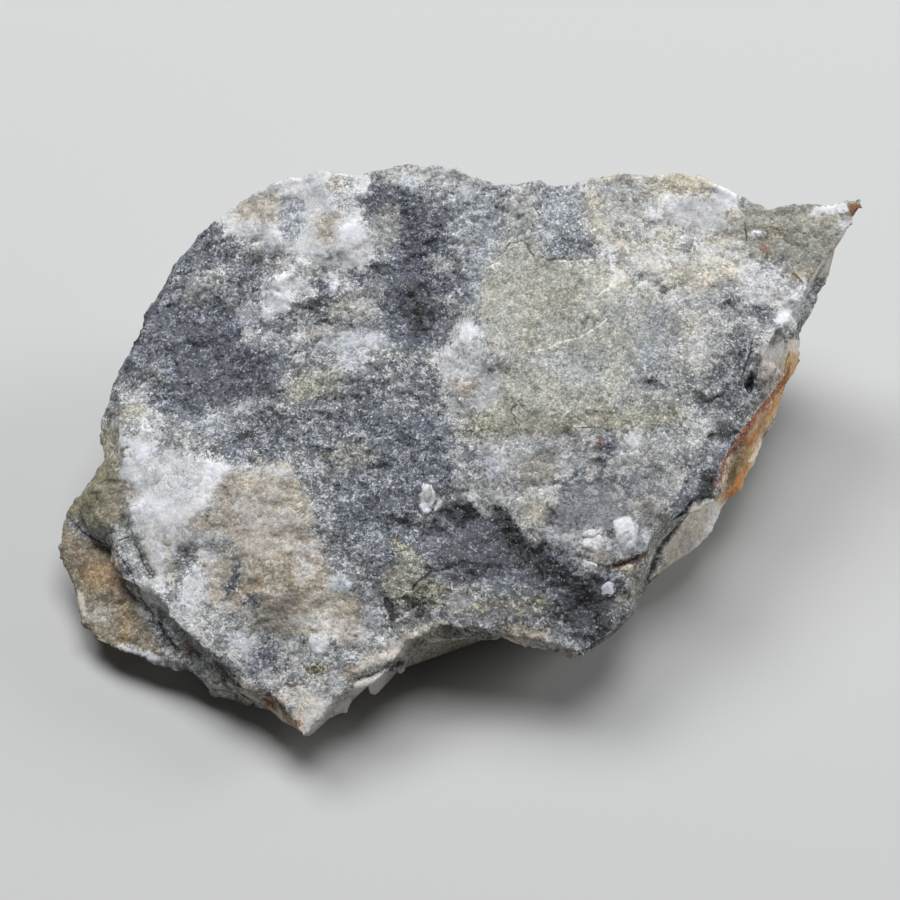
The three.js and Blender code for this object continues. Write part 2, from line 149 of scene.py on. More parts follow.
# Kinds of mineral: mean colour in steps up to 255, share of light grains, contrast of light and dark
# ones, and then the fields from speck to rise.
KINDS = {
    "black": ((40, 40, 44), 0.16, 1.3, 0.28, 0.5, 0.5, 0.85, -0.2),
    "dense ore": ((84, 86, 95), 0.24, 0.98, 0.52, 0.45, 0.5, 0.75, -0.08),
    "ore": ((100, 103, 112), 0.31, 0.86, 0.64, 0.45, 0.5, 0.75, -0.05),
    "mixed ore": ((117, 119, 123), 0.4, 0.72, 0.66, 0.4, 0.45, 0.75, 0),
    "host": ((136, 137, 137), 0.5, 0.42, 0.55, 0.4, 0.4, 0.85, 0),
    "pale host": ((160, 160, 159), 0.62, 0.34, 0.34, 0.35, 0.4, 0.5, 0),
    "blue grey": ((148, 152, 157), 0.5, 0.3, 0.5, 0.28, 0.35, 0.85, 0),
    "clay": ((166, 165, 157), 0.62, 0.13, 0.42, 0.2, 0.1, 0.32, 0.05),
    "blue clay": ((143, 147, 152), 0.5, 0.16, 0.42, 0.22, 0.1, 0.32, 0.05),
    "olive clay": ((150, 146, 128), 0.55, 0.25, 0.42, 0.3, 0.15, 0.6, 0),
    "quartz": ((200, 200, 201), 0.82, 0.24, 0.1, 0.15, 0.6, 0.18, 0.06),
    "bright": ((224, 224, 228), 0.9, 0.14, 0.04, 0.08, 0.6, 0.13, 0.1),
    "milky": ((186, 189, 196), 0.84, 0.16, 0.06, 0.11, 0.8, 0.13, 0.06),
    "grey glass": ((158, 161, 166), 0.7, 0.2, 0.18, 0.25, 0.8, 0.25, 0),
    "tan": ((170, 162, 150), 0.68, 0.26, 0.22, 0.32, 0.45, 0.55, 0),
    "brown tan": ((154, 143, 126), 0.55, 0.28, 0.26, 0.36, 0.4, 0.65, 0),
    "cream": ((188, 180, 162), 0.75, 0.2, 0.2, 0.26, 0.3, 0.5, 0),
    "pink": ((182, 172, 163), 0.75, 0.18, 0.14, 0.26, 0.4, 0.42, 0),
    "olive": ((122, 117, 92), 0.4, 0.8, 0.55, 0.5, 0.4, 0.85, 0),
    "slope": ((126, 121, 100), 0.5, 0.26, 0.18, 0.4, 0.2, 0.7, 0),
    "tooth": ((196, 190, 184), 0.95, 0.1, 0.04, 0.06, 0.85, 0.04, 0),
    "tip": ((146, 144, 134), 0.55, 0.26, 0.22, 0.38, 0.3, 0.35, 0),
    "crust": ((134, 125, 109), 0.5, 0.26, 0.3, 0.42, 0.15, 0.7, 0),
    "orange": ((160, 130, 90), 0.5, 0.2, 0.3, 0.34, 0.15, 0.6, 0),
    "rust": ((124, 80, 48), 0.4, 0.3, 0.25, 0.3, 0.15, 0.1, 0),
    "rim pale": ((204, 196, 182), 0.85, 0.1, 0.06, 0.1, 0.4, 0.15, 0),
    "rim tan": ((186, 148, 96), 0.8, 0.12, 0.08, 0.14, 0.4, 0.15, 0),
    "smoke": ((92, 92, 92), 0.3, 0.6, 0.3, 0.3, 0.4, 0.5, 0),
    "black ore": ((52, 53, 58), 0.2, 1.2, 0.38, 0.5, 0.5, 0.85, -0.12),
    "dark glass": ((86, 88, 93), 0.5, 0.3, 0.18, 0.25, 0.7, 0.3, 0),
}

# Kinds whose rarer grains lean to another hue.
TINTS = {
    "ore": (1.04, 1, 0.97),
    "mixed ore": (1.03, 1, 0.97),
    "tan": (1.05, 0.98, 0.9),
    "brown tan": (1.05, 0.97, 0.88),
    "olive clay": (1.02, 1, 0.9),
}

# Masses in the broad face, laid one over the other: name, kind, form in mm across and up the face, softness
# of the edge, strength, and raggedness of the edge. A form is the list of an outline's corners, an oval's
# middle, half length, half width and turn in degrees, or a vein's half width and path. A few masses are
# painted shadow or painted light, and say so where they stand.
MASSES = (
    ("left ore", "ore", [(-24.5, 22.8), (-21, 21.2), (-18.8, 18.8), (-18.8, 16), (-20,
     14.5), (-19.2, 13.2), (-16.5, 13.2), (-15, 12), (-15, 9.8), (-16.5, 8.5), (-16.8, 5), (-21.5,
     4.2), (-26, 2), (-29, 3), (-30, 4.8), (-33.5, 5.5), (-34.2, 10), (-32.5, 12), (-29.5, 18), (-27.5,
     20.5)], 0.8, 1, 1),
    ("left ore core", "dense ore", [(-27.5, 12.8), (-21, 12.8), (-17.5, 10), (-16.5, 5.8),
     (-23.5, 3.8), (-26.5, 4.2), (-28.5, 5.5), (-28.5, 10)], 1.4, 0.9, 1.4),
    ("left ore crest", "mixed ore", [(-24.5, 22.8), (-21, 21), (-18.8, 18.2), (-22, 15),
     (-30, 15), (-27.5, 20.5)], 1.2, 0.55, 1.2),
    ("left ore foot", "host", (-31, 7, 2.6, 1.8, 0), 1, 0.7, 0.8),
    ("left ore edge", "dense ore", (-29.6, 11.8, 1.3, 2.6, -30), 0.8, 0.75, 0.8),
    ("left ore pale foot", "quartz", (-31.4, 5.4, 1.4, 0.9, -20), 0.6, 0.7, 0.6),
    ("upper left quartz", "quartz", [(-24.5, 23.2), (-21, 26), (-16.5, 28.2), (-12, 29),
     (-7.2, 28.5), (-7.6, 25), (-8.8, 23), (-7, 20.5), (-8.5, 18.6), (-10.5, 17.8), (-12, 19.2), (-15,
     18.8), (-17, 20.3), (-21, 20.8)], 0.6, 1, 0.8),
    ("upper left grey", "pale host", [(-16.5, 20), (-12, 18.8), (-7.8, 18.2), (-10.5, 16.5),
     (-14, 16), (-17, 18)], 0.8, 0.7, 0.8),
    ("upper left pale", "quartz", (-18.4, 20.2, 2.4, 0.9, 10), 0.7, 0.6, 0.7),
    ("upper left pale 2", "quartz", (-12.4, 18.8, 2.2, 0.6, 0), 0.6, 0.6, 0.6),
    ("tan cap", "tan", [(-21.4, 25), (-18.8, 26), (-16.2, 25.2), (-16.6, 23.5), (-18.8,
     22.6), (-21.2, 22.8)], 0.7, 0.9, 0.6),
    ("grey streak in quartz", "blue grey", [(-16.8, 25.2), (-14.8, 25), (-14.6, 21.5),
     (-15.8, 20.8), (-17, 22.4)], 0.6, 0.85, 0.5),
    ("bright upper quartz", "bright", [(-11.2, 22.2), (-9.2, 23.2), (-7.2, 22), (-7.4,
     20.4), (-8.8, 18.6), (-10.7, 19), (-11.6, 20.4)], 0.5, 1, 0.5),
    ("bright quartz notch", "bright", (-14.2, 20.4, 1, 1.4, -20), 0.6, 0.8, 0.5),
    ("bright cap", "bright", (-15.4, 26.4, 1.6, 0.8, -10), 0.6, 0.6, 0.5),
    ("tan spot", "brown tan", (-12.4, 22.8, 1.2, 0.8, 0), 0.6, 0.75, 0.5),
    ("tan veil", "tan", (-12.4, 21.4, 1, 1, 0), 0.6, 0.6, 0.5),
    ("brown fleck", "brown tan", (-11.4, 26.9, 0.9, 0.5, 20), 0.4, 0.7, 0.4),
    ("upper left shade", "host", (-10.3, 25.8, 1.5, 1.5, 0), 0.7, 0.6, 0.7),
    ("left blob", "bright", [(-18.8, 16.7), (-15.8, 17.8), (-13.8, 17.2), (-14.2, 16), (-16,
     15.4), (-16.6, 14.2), (-18, 14), (-18.8, 15)], 0.7, 1, 0.7),
    ("left blob drop", "quartz", (-20, 11.6, 0.6, 0.7, 0), 0.4, 0.8, 0.4),
    ("left blob foot", "bright", (-17.8, 14.4, 1.3, 0.9, 20), 0.5, 0.85, 0.6),
    ("left blob side", "milky", (-19.8, 13.7, 1.2, 0.8, 0), 0.6, 0.6, 0.7),
    ("left blob haze", "pale host", (-18.2, 11.2, 2.2, 1.4, -10), 0.8, 0.5, 0.8),
    ("left ore veil", "host", (-21, 17, 3, 1.6, 30), 0.8, 0.45, 0.9),
    ("left ore pale 2", "pale host", (-24.6, 16.4, 2.2, 1.2, 30), 0.7, 0.9, 0.8),
    ("left ore pale 3", "pale host", (-21, 14.4, 1.4, 0.9, 0), 0.6, 0.6, 0.7),
    ("left ore bite", "ore", (-19.5, 17.9, 0.8, 0.7, 0), 0.5, 0.6, 0.5),
    ("mottle", "host", [(-15, 17), (-10.5, 17.5), (-7.2, 15), (-6.5, 12), (-5, 10), (-7.2,
     7.8), (-11, 7.5), (-15, 8), (-16.5, 10.5), (-15, 12.5)], 1, 0.8, 1.2),
    ("mottle dark 1", "ore", (-12.8, 16, 1.4, 1, 0), 0.6, 0.8, 0.8),
    ("mottle black 1", "black", (-13.2, 14.6, 1, 0.5, 20), 0.4, 0.7, 0.6),
    ("mottle black 2", "black", (-12.7, 12.8, 0.9, 0.6, -10), 0.4, 0.55, 0.6),
    ("mottle white 1", "bright", (-11.4, 16.7, 0.7, 0.9, 0), 0.4, 0.9, 0.4),
    ("mottle tan", "tan", (-13.2, 11.7, 2, 0.8, 0), 0.7, 0.7, 0.6),
    ("mottle pale", "quartz", (-15, 11.5, 1, 0.8, 0), 0.6, 0.6, 0.6),
    ("mottle pale 2", "pale host", (-9.8, 13.6, 2.4, 0.8, 0), 0.7, 0.6, 0.8),
    ("mottle pale 3", "quartz", (-8, 14.5, 1, 0.7, 0), 0.5, 0.65, 0.6),
    ("mottle pale 4", "quartz", (-14.9, 16.2, 1.3, 0.9, 0), 0.5, 0.8, 0.6),
    ("mottle pale 5", "quartz", (-11.2, 18.5, 2, 0.9, 0), 0.6, 0.6, 0.7),
    ("mottle pale 6", "quartz", (-7.9, 21, 0.8, 1, 0), 0.5, 0.5, 0.5),
    ("mottle cream", "cream", (-10, 14.5, 1.8, 1, -10), 0.8, 0.25, 0.8),
    ("blue veil", "milky", (-8.4, 11, 3.6, 1.1, -4), 0.9, 0.85, 0.8),
    ("blue veil 2", "milky", (-9.8, 9, 1.8, 1.2, 0), 0.8, 0.45, 0.8),
    ("small ore", "ore", (-9.2, 6.2, 2, 1.4, 0), 0.7, 0.85, 0.8),
    ("dark column", "ore", [(-7.8, 27.4), (-5, 26.4), (-1, 26.8), (0.2, 25.5), (-0.4, 20),
     (1.2, 18.8), (3.2, 16.5), (2, 14.5), (-0.4, 13.8), (-0.8, 11.2), (-3, 9.8), (-5.5, 10.5), (-6.5,
     12.5), (-7.2, 15), (-10.5, 17.8), (-7.8, 20.4), (-5.4, 20.8), (-5.4, 23.5), (-8.2, 22.8), (-9.2,
     25)], 0.6, 1, 0.8),
    ("column core", "dense ore", [(-4.8, 25), (-1.2, 25), (-1.2, 20), (-2.5, 18.8), (-5,
     21)], 0.9, 0.55, 0.8),
    ("column knot", "dense ore", [(-7.8, 18.8), (-1, 19.2), (0, 16), (-1, 11.5), (-3.8, 11),
     (-5.8, 13.2), (-6.4, 16)], 0.9, 0.8, 0.9),
    ("column black", "black", (-3.2, 14.5, 1.5, 2.8, -10), 0.9, 0.6, 0.9),
    ("column black 2", "black", (-7.8, 18.2, 1.1, 0.9, 0), 0.6, 0.4, 0.8),
    ("column grey", "host", (-6.6, 22.2, 1.2, 2.2, 0), 0.7, 0.8, 0.7),
    ("column veil", "blue grey", (-6.4, 20.4, 1.2, 1.2, 0), 0.6, 0.5, 0.6),
    ("column top light", "pale host", [(-7.2, 28.6), (-1, 29), (4, 27.8), (3.6, 26.4), (0,
     26), (-1, 26.6), (-4, 26.4), (-7, 26.8)], 0.6, 0.9, 0.6),
    ("column crest", "quartz", (-1.4, 27.7, 3, 0.8, 6), 0.5, 0.65, 0.6),
    ("column crest 2", "milky", (-3.8, 26.6, 1.2, 0.8, 0), 0.5, 0.6, 0.6),
    ("column gap", "pale host", (-1.8, 25.4, 1.2, 1.6, 0), 0.7, 0.5, 0.7),
    ("column bite", "quartz", (-8.8, 19.6, 1.1, 1.4, -20), 0.5, 0.95, 0.5),
    ("column pale", "pale host", (-7.2, 15.9, 0.9, 1, 0), 0.6, 0.6, 0.6),
    ("column foot pale", "quartz", (1.2, 14.7, 1.4, 0.8, 0), 0.6, 0.75, 0.6),
    ("column arm", "host", (-6, 24.7, 1, 2, 0), 0.6, 0.55, 0.6),
    ("column pale 2", "pale host", (-6.2, 22.6, 1.1, 2.2, -10), 0.6, 0.85, 0.7),
    ("light patch", "pale host", (-0.4, 18.4, 1.5, 0.8, -8), 0.5, 0.95, 0.5),
    ("blue column", "blue grey", [(0.2, 26.4), (5, 26.7), (5.8, 21.8), (3.6, 15.8), (1.8,
     15), (0, 22)], 0.7, 0.95, 0.7),
    ("blue column shade", "host", (2, 21.2, 1.4, 1.8, 0), 0.8, 0.5, 0.7),
    ("top middle", "pale host", [(5, 26.6), (9.5, 26.8), (9.5, 22), (8, 20), (5.5, 21)],
     0.8, 0.7, 0.8),
    ("top middle cream", "quartz", (6.2, 24, 0.8, 1.8, 0), 0.6, 0.5, 0.5),
    ("column pale 4", "quartz", (1.8, 26, 1.5, 0.7, 0), 0.5, 0.75, 0.6),
    ("white lines", "quartz", (-1.3, 15, 0.8, 0.5, 0), 0.4, 0.5, 0.4),
    ("blue patch", "blue grey", [(8.8, 26.8), (11.6, 26.8), (14, 23.8), (14.4, 20.4), (12.6,
     19.2), (9.8, 19.6), (9, 22.5)], 0.5, 0.95, 0.5),
    ("blue patch core", "mixed ore", (12.6, 21.4, 1.7, 2.4, 0), 0.8, 0.55, 0.7),
    ("blue patch foot", "mixed ore", (10.2, 20.2, 1.8, 0.9, 0), 0.6, 0.6, 0.5),
    ("blue patch crest", "mixed ore", (10.2, 25.6, 1.4, 0.8, 0), 0.6, 0.45, 0.5),
    ("clay", "clay", [(5.5, 21), (7.2, 21.6), (9, 19.4), (11, 18.8), (15, 18.8), (19, 16.5),
     (22.6, 15), (23.4, 11), (23, 7), (21.4, 4.8), (14, 3), (11, 3.2), (9.5, 1.8), (5, 2.2), (2.8,
     4.5), (4.8, 7.8), (3.4, 11.5), (2.8, 14.5), (5, 18.8)], 0.6, 1, 0.6),
    ("clay blue 1", "blue clay", (20.5, 9.8, 2.2, 4.8, -5), 1.2, 0.8, 1),
    ("clay blue 2", "blue clay", (12.4, 8.4, 2.4, 1.4, 0), 1, 0.6, 0.8),
    ("clay blue 4", "blue clay", (17.4, 13.8, 2.4, 1.4, 20), 1, 0.45, 0.8),
    ("clay cream 1", "cream", (9.5, 16.5, 4, 2, 0), 1.4, 0.18, 1),
    ("clay cream 2", "cream", (4.2, 17.5, 0.7, 2.6, -10), 0.6, 0.35, 0.5),
    ("clay shade 1", "olive clay", (12, 15, 1.6, 1.4, -20), 1, 0.4, 0.8),
    ("clay shade 2", "olive clay", (8, 12, 1.2, 1.6, 0), 1, 0.35, 0.8),
    ("clay foot", "olive clay", [(0.5, 4.5), (5, 5.2), (9, 3.2), (23, 5.4), (25, 3.5), (24,
     2.2), (2, 0.8), (0, 2)], 0.8, 0.7, 0.8),
    ("clay foot shade", "host", (18, 4.7, 6.6, 0.9, 0), 0.7, 0.5, 0.6),
    ("clay shade 3", "host", (20.8, 7.6, 1.4, 2, 0), 0.9, 0.65, 0.8),
    ("clay shade 5", "ore", (21.1, 6.6, 1.2, 1.3, 0), 0.7, 0.4, 0.7),
    ("clay shade 4", "olive clay", (12.8, 4.2, 2.6, 0.8, 0), 0.8, 0.5, 0.7),
    ("clay foot brown", "brown tan", [(5.8, 2), (9, 2.4), (14, 2.1), (13.8, 1.2), (9, 0.9),
     (5.8, 1)], 0.5, 0.75, 0.5),
    ("clay foot olive", "olive", (3, 2, 2.4, 0.9, 5), 0.8, 0.35, 0.8),
    ("clay right", "pale host", [(22.6, 16.5), (27, 17), (29.2, 15), (27.8, 12), (27.2, 9),
     (23.4, 5.5), (22.4, 10), (23, 13)], 0.8, 0.9, 0.9),
    ("clay right cream", "cream", (24, 10.5, 1, 3.4, 0), 0.8, 0.45, 0.7),
    ("clay right white", "quartz", (24.5, 16, 2.2, 1, 10), 0.8, 0.6, 0.7),
    ("clay right white 2", "quartz", (24.5, 10.2, 0.9, 1.2, 0), 0.6, 0.45, 0.6),
    ("clay right shade", "host", (23, 9.4, 0.7, 2, 0), 0.6, 0.55, 0.5),
    ("clay lower right", "host", [(22.6, 7.5), (25, 8.2), (28.5, 7), (29.5, 5), (28.5, 2.5),
     (25, 2.5), (23, 4)], 0.8, 0.85, 0.8),
    ("clay scratch 2", "quartz", (0.1, [(7, 7.8), (8.4, 8.4), (9.6, 8.9)]), 0.25, 0.35, 0.15),
    ("centre white", "quartz", [(-1, 11), (0.5, 13), (2, 13.8), (3.4, 12.5), (3.8, 10),
     (4.8, 7.8), (4.8, 5.5), (3.2, 4), (1.8, 4.8), (0.5, 4.5), (-1, 5.5), (-2.5, 7.2), (-2.2, 9)], 0.6,
     0.8, 0.7),
    ("centre lump", "bright", (1.7, 11.7, 0.9, 1, 0), 0.3, 0.95, 0.2),
    ("centre lump 2", "bright", (-0.1, 9.8, 0.7, 0.8, -20), 0.3, 0.8, 0.2),
    ("centre lump 3", "quartz", (-1.2, 7.8, 1.7, 1.1, -10), 0.6, 0.85, 0.5),
    ("centre pink", "quartz", (4, 7.4, 1, 1.5, 0), 0.5, 0.85, 0.4),
    ("centre tan", "tan", (1.4, 6.2, 1.3, 1.2, 0), 0.6, 0.75, 0.5),
    ("centre foot", "quartz", (1.8, 4.6, 2, 0.6, 0), 0.5, 0.6, 0.5),
    ("centre grey", "blue grey", (3.7, 8.8, 0.8, 0.9, 0), 0.5, 0.7, 0.4),
    ("centre edge", "host", (0.2, 13.6, 1.4, 1, 0), 0.6, 0.5, 0.6),
    ("centre dark", "dense ore", (-0.9, 11.7, 1.1, 1.2, 0), 0.6, 0.8, 0.6),
    ("below blobs", "pale host", [(-3, 7.2), (0.5, 5), (2, 3), (0.2, 1), (-1, 3), (-2.5,
     5)], 0.8, 0.7, 0.8),
    ("upper right", "cream", [(14, 27.8), (19, 28.5), (27, 28.5), (29.5, 25.5), (30, 20),
     (29.5, 16.5), (21.5, 15.8), (18.6, 17.4), (16, 15.8), (15, 17.2), (16.2, 19.8), (14, 21.4), (13.4,
     24.5)], 0.6, 0.62, 0.8),
    ("upper right pale", "pale host", [(15, 26.5), (20, 27.5), (21, 22.5), (19, 21), (15.5,
     22.5)], 0.8, 0.8, 0.8),
    ("upper right pale 2", "quartz", (15.6, 26.2, 2.2, 0.8, 0), 0.6, 0.55, 0.6),
    ("white vein 1", "bright", [(20.5, 25.4), (23, 25.8), (26.2, 25.4), (28.5, 27), (29.2,
     25.2), (26.2, 22.8), (21.5, 23.2), (20, 23.8)], 0.6, 0.85, 0.7),
    ("white vein 2", "quartz", [(15, 21), (19, 20), (29.5, 21.5), (29.8, 18.8), (25, 19.2),
     (20.5, 17.2), (17.5, 17.8), (15.6, 18.8)], 0.8, 0.55, 0.8),
    ("white crest", "quartz", (20.2, 27.8, 1.4, 0.6, 30), 0.4, 0.8, 0.4),
    ("white vein 3", "bright", (27.2, 26.2, 1.2, 0.7, -35), 0.4, 0.7, 0.4),
    ("white vein 5", "quartz", (19.5, 21.8, 1.8, 0.4, -40), 0.5, 0.7, 0.4),
    ("white vein 6", "quartz", (26.2, 22.2, 3.8, 0.9, 5), 0.7, 0.8, 0.6),
    ("white vein 7", "quartz", (21, 17.2, 1.4, 0.7, 0), 0.6, 0.5, 0.5),
    ("upper right shade", "host", (23.3, 20.8, 1.4, 0.8, 0), 0.6, 0.7, 0.6),
    ("white vein 8", "bright", (23.6, 23.6, 3, 0.8, 0), 0.6, 0.55, 0.6),
    ("cream bump", "cream", [(21.4, 27.2), (23.8, 28.2), (26.2, 27.2), (26.4, 26.2), (24,
     25.8), (22, 26)], 0.5, 0.8, 0.4),
    ("cream bump shade", "olive clay", (24, 26, 1.4, 0.5, 0), 0.5, 0.5, 0.4),
    ("star", "bright", (0.3, [(16.1, 19), (16.6, 17.8), (17.4, 17.4)]), 0.4, 0.8, 0.2),
    ("star 2", "bright", (0.2, [(15.8, 16), (16.6, 17.4)]), 0.3, 0.6, 0.2),
    ("tip", "tip", [(29.2, 25), (35, 24.7), (42, 25), (41.2, 23), (37.8, 17.2), (35, 16.6),
     (32.6, 18.8), (30.2, 19.4), (29.2, 22)], 0.5, 1, 0.6),
    ("tip brown", "brown tan", (35, 17.5, 1.6, 0.6, 10), 0.5, 0.8, 0.5),
    ("tip brown 2", "rust", (31.6, 20, 0.5, 0.25, -50), 0.3, 0.6, 0.2),
    ("tip dark", "mixed ore", (32.6, 18.4, 1.4, 0.6, 10), 0.4, 0.6, 0.5),
    ("tip olive", "olive", (32.2, 22, 1.5, 0.5, 0), 0.4, 0.5, 0.5),
    ("tip tan", "tan", (35.2, 22.9, 2.6, 0.6, 5), 0.5, 0.55, 0.6),
    # A pale quartz patch on the tip's right edge, which also stands for the highlight there.
    ("tip pale", "quartz", (39.3, 22.3, 0.6, 0.8, -30), 0.4, 0.7, 0.4),
    ("tip white edge", "bright", [(35, 23.9), (38, 24.7), (39.6, 24.7), (40.1, 24.3), (39.2,
     23.7), (36, 23.6)], 0.25, 0.9, 0.3),
    ("tip rust", "rust", [(39.8, 24.6), (41.8, 24.8), (41.6, 23.9), (40.8, 23.2), (40,
     23.6)], 0.15, 0.95, 0.1),
    ("tip white fleck", "bright", (30.7, 21.6, 0.6, 0.4, 0), 0.2, 0.95, 0.2),
    ("tip under edge", "rim pale", (0.4, [(40.5, 22.8), (39.5, 21.2), (38.6, 20), (37.2,
     17.4)]), 0.4, 0.6, 0.3),
    ("right white", "quartz", [(28.5, 18), (32, 18.4), (34, 16.8), (36.2, 17), (35.6, 14),
     (34.5, 12.2), (33, 12), (31.5, 14.5), (29.5, 14.8)], 0.6, 0.75, 0.7),
    ("right bright", "bright", (33.2, 13.5, 0.7, 0.9, 0), 0.4, 0.6, 0.4),
    ("right bright 2", "quartz", (30.8, 15, 1.4, 0.9, 0), 0.6, 0.6, 0.5),
    ("right blue spot", "ore", (30.7, 13.7, 1.5, 0.6, 5), 0.4, 0.85, 0.4),
    ("right dark spot", "mixed ore", (28, 14.7, 1.1, 0.9, 0), 0.5, 0.75, 0.5),
    ("right streaks", "mixed ore", [(27.6, 11.4), (29.5, 12), (30.8, 10.2), (30.6, 7.5),
     (29.8, 5), (28.5, 3.5), (26.2, 3.5), (25.2, 5.5), (26.2, 8.2), (27.2, 9.8)], 0.6, 0.75, 0.8),
    ("right streak 1", "dense ore", (0.3, [(28, 11.4), (28.6, 10.2), (29.1, 8.8)]), 0.4, 0.7, 0.4),
    ("right streak 4", "dense ore", (0.4, [(25, 4.8), (26.6, 5.2), (27.8, 6.2)]), 0.4, 0.6, 0.5),
    ("right pale 3", "quartz", (32.6, 11.6, 1.3, 0.8, 10), 0.6, 0.75, 0.6),
    ("right pale 4", "pale host", (29.2, 13.2, 1.2, 0.8, 0), 0.5, 0.6, 0.6),
    ("right white speck", "quartz", (24.5, 2.5, 1.6, 0.5, 10), 0.5, 0.7, 0.5),
    ("right boss", "pink", [(31.2, 10), (32, 10.8), (33.2, 10.6), (33.3, 9.2), (31.8, 7),
     (31, 7.2)], 0.3, 0.95, 0.2),
    ("right boss edge", "rim pale", (0.4, [(33.3, 10.4), (33.6, 9.4), (33.2, 8.2), (32.4, 7),
     (31.6, 5.8)]), 0.4, 0.6, 0.2),
    ("right boss pale", "quartz", (32.1, 10, 0.9, 0.9, 0), 0.6, 0.5, 0.3),
    ("black hole", "black", (0.12, [(30.2, 7.6), (30, 6.8), (29.9, 5.9)]), 0.2, 0.9, 0.2),
    ("black hole tail", "smoke", (0.2, [(30.7, 8.8), (30.4, 7.6)]), 0.3, 0.7, 0.3),
    ("lower quartz", "pale host", [(0.2, 0.8), (7, 1.6), (24, 2.2), (26.6, 2.6), (24, -2.8),
     (21.2, -7.5), (19.8, -11), (15.4, -11), (11, -9.6), (6.2, -9), (4.2, -6), (0.8, -5), (-0.2,
     -1.5)], 0.7, 0.9, 0.8),
    ("lower milky 1", "milky", (4.6, -1.4, 2.6, 1.3, -5), 0.8, 0.7, 0.7),
    ("lower milky 2", "quartz", (12, -1.8, 1.2, 1.2, 0), 0.6, 0.7, 0.6),
    ("lower milky 3", "milky", (10.6, -8.2, 1.8, 1, 0), 0.6, 0.5, 0.6),
    ("lower bright 1", "bright", (14.2, -4.2, 0.7, 0.7, 0), 0.4, 0.8, 0.4),
    ("lower bright 2", "quartz", (18.4, 0.6, 0.7, 1.1, 0), 0.4, 0.9, 0.3),
    ("lower dark 1", "dense ore", (15.4, -0.2, 0.8, 1.4, -5), 0.5, 0.8, 0.6),
    ("lower dark 2", "ore", [(10.2, -3.4), (13, -2.4), (14.6, -3.4), (13.8, -5), (11,
     -5.4)], 0.6, 0.65, 0.8),
    ("lower dark 3", "mixed ore", (18.6, -3.4, 1.6, 0.9, 25), 0.6, 0.7, 0.6),
    ("lower dark 4", "dense ore", (12.2, -6.8, 1.5, 1.5, 0), 0.7, 0.9, 0.8),
    ("lower dark 6", "ore", (17.1, -3, 1.1, 0.9, 0), 0.5, 0.6, 0.6),
    ("lower red", "rust", (15, 0.7, 0.4, 0.4, 0), 0.3, 0.5, 0.3),
    ("lower grey", "host", (2, -2, 1.4, 1.6, 0), 0.8, 0.6, 0.7),
    ("lower tan 1", "tan", (8.5, -2, 2.2, 1.2, 0), 0.8, 0.6, 0.8),
    ("lower tan 2", "cream", (9.5, -6, 2.2, 1.4, 0), 0.8, 0.5, 0.8),
    ("lower pink", "pink", (19, -5.8, 1.4, 1, 0), 0.7, 0.6, 0.5),
    ("lower glass 2", "dark glass", [(10, -5), (12.2, -3.4), (15.6, -3.2), (17.2, -4.4),
     (18, -6.6), (16.6, -8.4), (13.8, -7.8), (11.6, -9.2), (10, -7.4)], 0.9, 0.75, 0.9),
    ("lower glass 3", "dark glass", (19.8, -3.4, 2.2, 1.2, 15), 0.8, 0.55, 0.8),
    ("lower glass 4", "dark glass", (18.6, -6.8, 1.6, 1.4, 0), 0.7, 0.5, 0.6),
    ("lower glass 5", "dark glass", (11, -10.2, 1.8, 0.9, -20), 0.7, 0.55, 0.7),
    ("lower glass 6", "dark glass", (13.4, -7.2, 2.6, 1.3, 0), 0.8, 0.75, 0.8),
    ("grain A", "bright", [(13.2, -8.2), (15, -7.9), (15.2, -9), (15, -10.6), (14, -10.8),
     (13.4, -9.8)], 0.3, 0.95, 0.2),
    ("grain B", "bright", [(16.4, -7), (18, -6.7), (18.7, -7.8), (18, -11.2), (16.8, -11)],
     0.3, 1, 0.2),
    ("grain C", "pink", (15, -10.3, 1, 0.9, 0), 0.4, 0.7, 0.3),
    ("grain D", "quartz", (14, -11.6, 0.8, 0.6, 0), 0.3, 0.7, 0.2),
    ("grain E", "milky", (15.9, -13.6, 1.1, 1, 20), 0.4, 0.95, 0.3),
    ("grain F", "cream", (18.1, -11.9, 0.9, 0.6, -20), 0.3, 0.9, 0.2),
    ("grain G", "milky", (19.5, -9.5, 0.9, 0.8, 0), 0.5, 0.6, 0.3),
    ("red crack", "rust", (0.25, [(16.4, -11.6), (17.4, -11.3), (18.4, -11), (19.2, -10.7),
     (19.8, -10.2)]), 0.2, 0.95, 0.2),
    ("red crack core", "black", (0.12, [(17.2, -11.4), (18.4, -11.1), (19.7, -10.4)]), 0.2,
     0.8, 0.1),
    ("middle ore", "mixed ore", [(-22.4, 2), (-18.8, 4.2), (-15, 4.6), (-11, 7.2), (-7,
     7.4), (-5, 10.4), (-2, 9.2), (0.2, 1), (0.2, -3), (-1.4, -4), (-3.4, -11), (-5.4, -15.2), (-7.8,
     -15.2), (-10.8, -11.2), (-12.4, -7), (-14.8, -3.2), (-17.8, -1.7), (-21, -2.2), (-23.8, -0.6)],
     0.7, 0.9, 0.9),
    ("middle core", "ore", [(-7.5, 3), (-1, 4), (-0.2, -3), (-3, -7), (-4, -11), (-7, -13),
     (-10, -9), (-12, -5), (-9, -2)], 1.2, 0.65, 1),
    ("middle black 1", "dense ore", (-20.4, 1.2, 1.8, 1.4, 15), 0.6, 0.8, 0.8),
    ("middle yellow", "olive", (-12.2, -0.7, 0.9, 0.35, 0), 0.3, 0.9, 0.2),
    ("middle olive 1", "olive clay", (-13.8, 6.5, 3, 1.4, 15), 0.9, 0.55, 0.8),
    ("middle olive 2", "olive clay", (-9.5, -0.2, 1.8, 1.4, 0), 0.9, 0.45, 0.8),
    ("middle pale 1", "pale host", (-12, -2, 1.8, 0.7, -15), 0.6, 0.5, 0.6),
    ("middle pale 2", "pale host", (-15, 2.5, 2.6, 0.9, 0), 0.8, 0.3, 0.8),
    ("middle dark 3", "dense ore", (-2.5, -1, 1.6, 2.2, 0), 0.9, 0.4, 0.8),
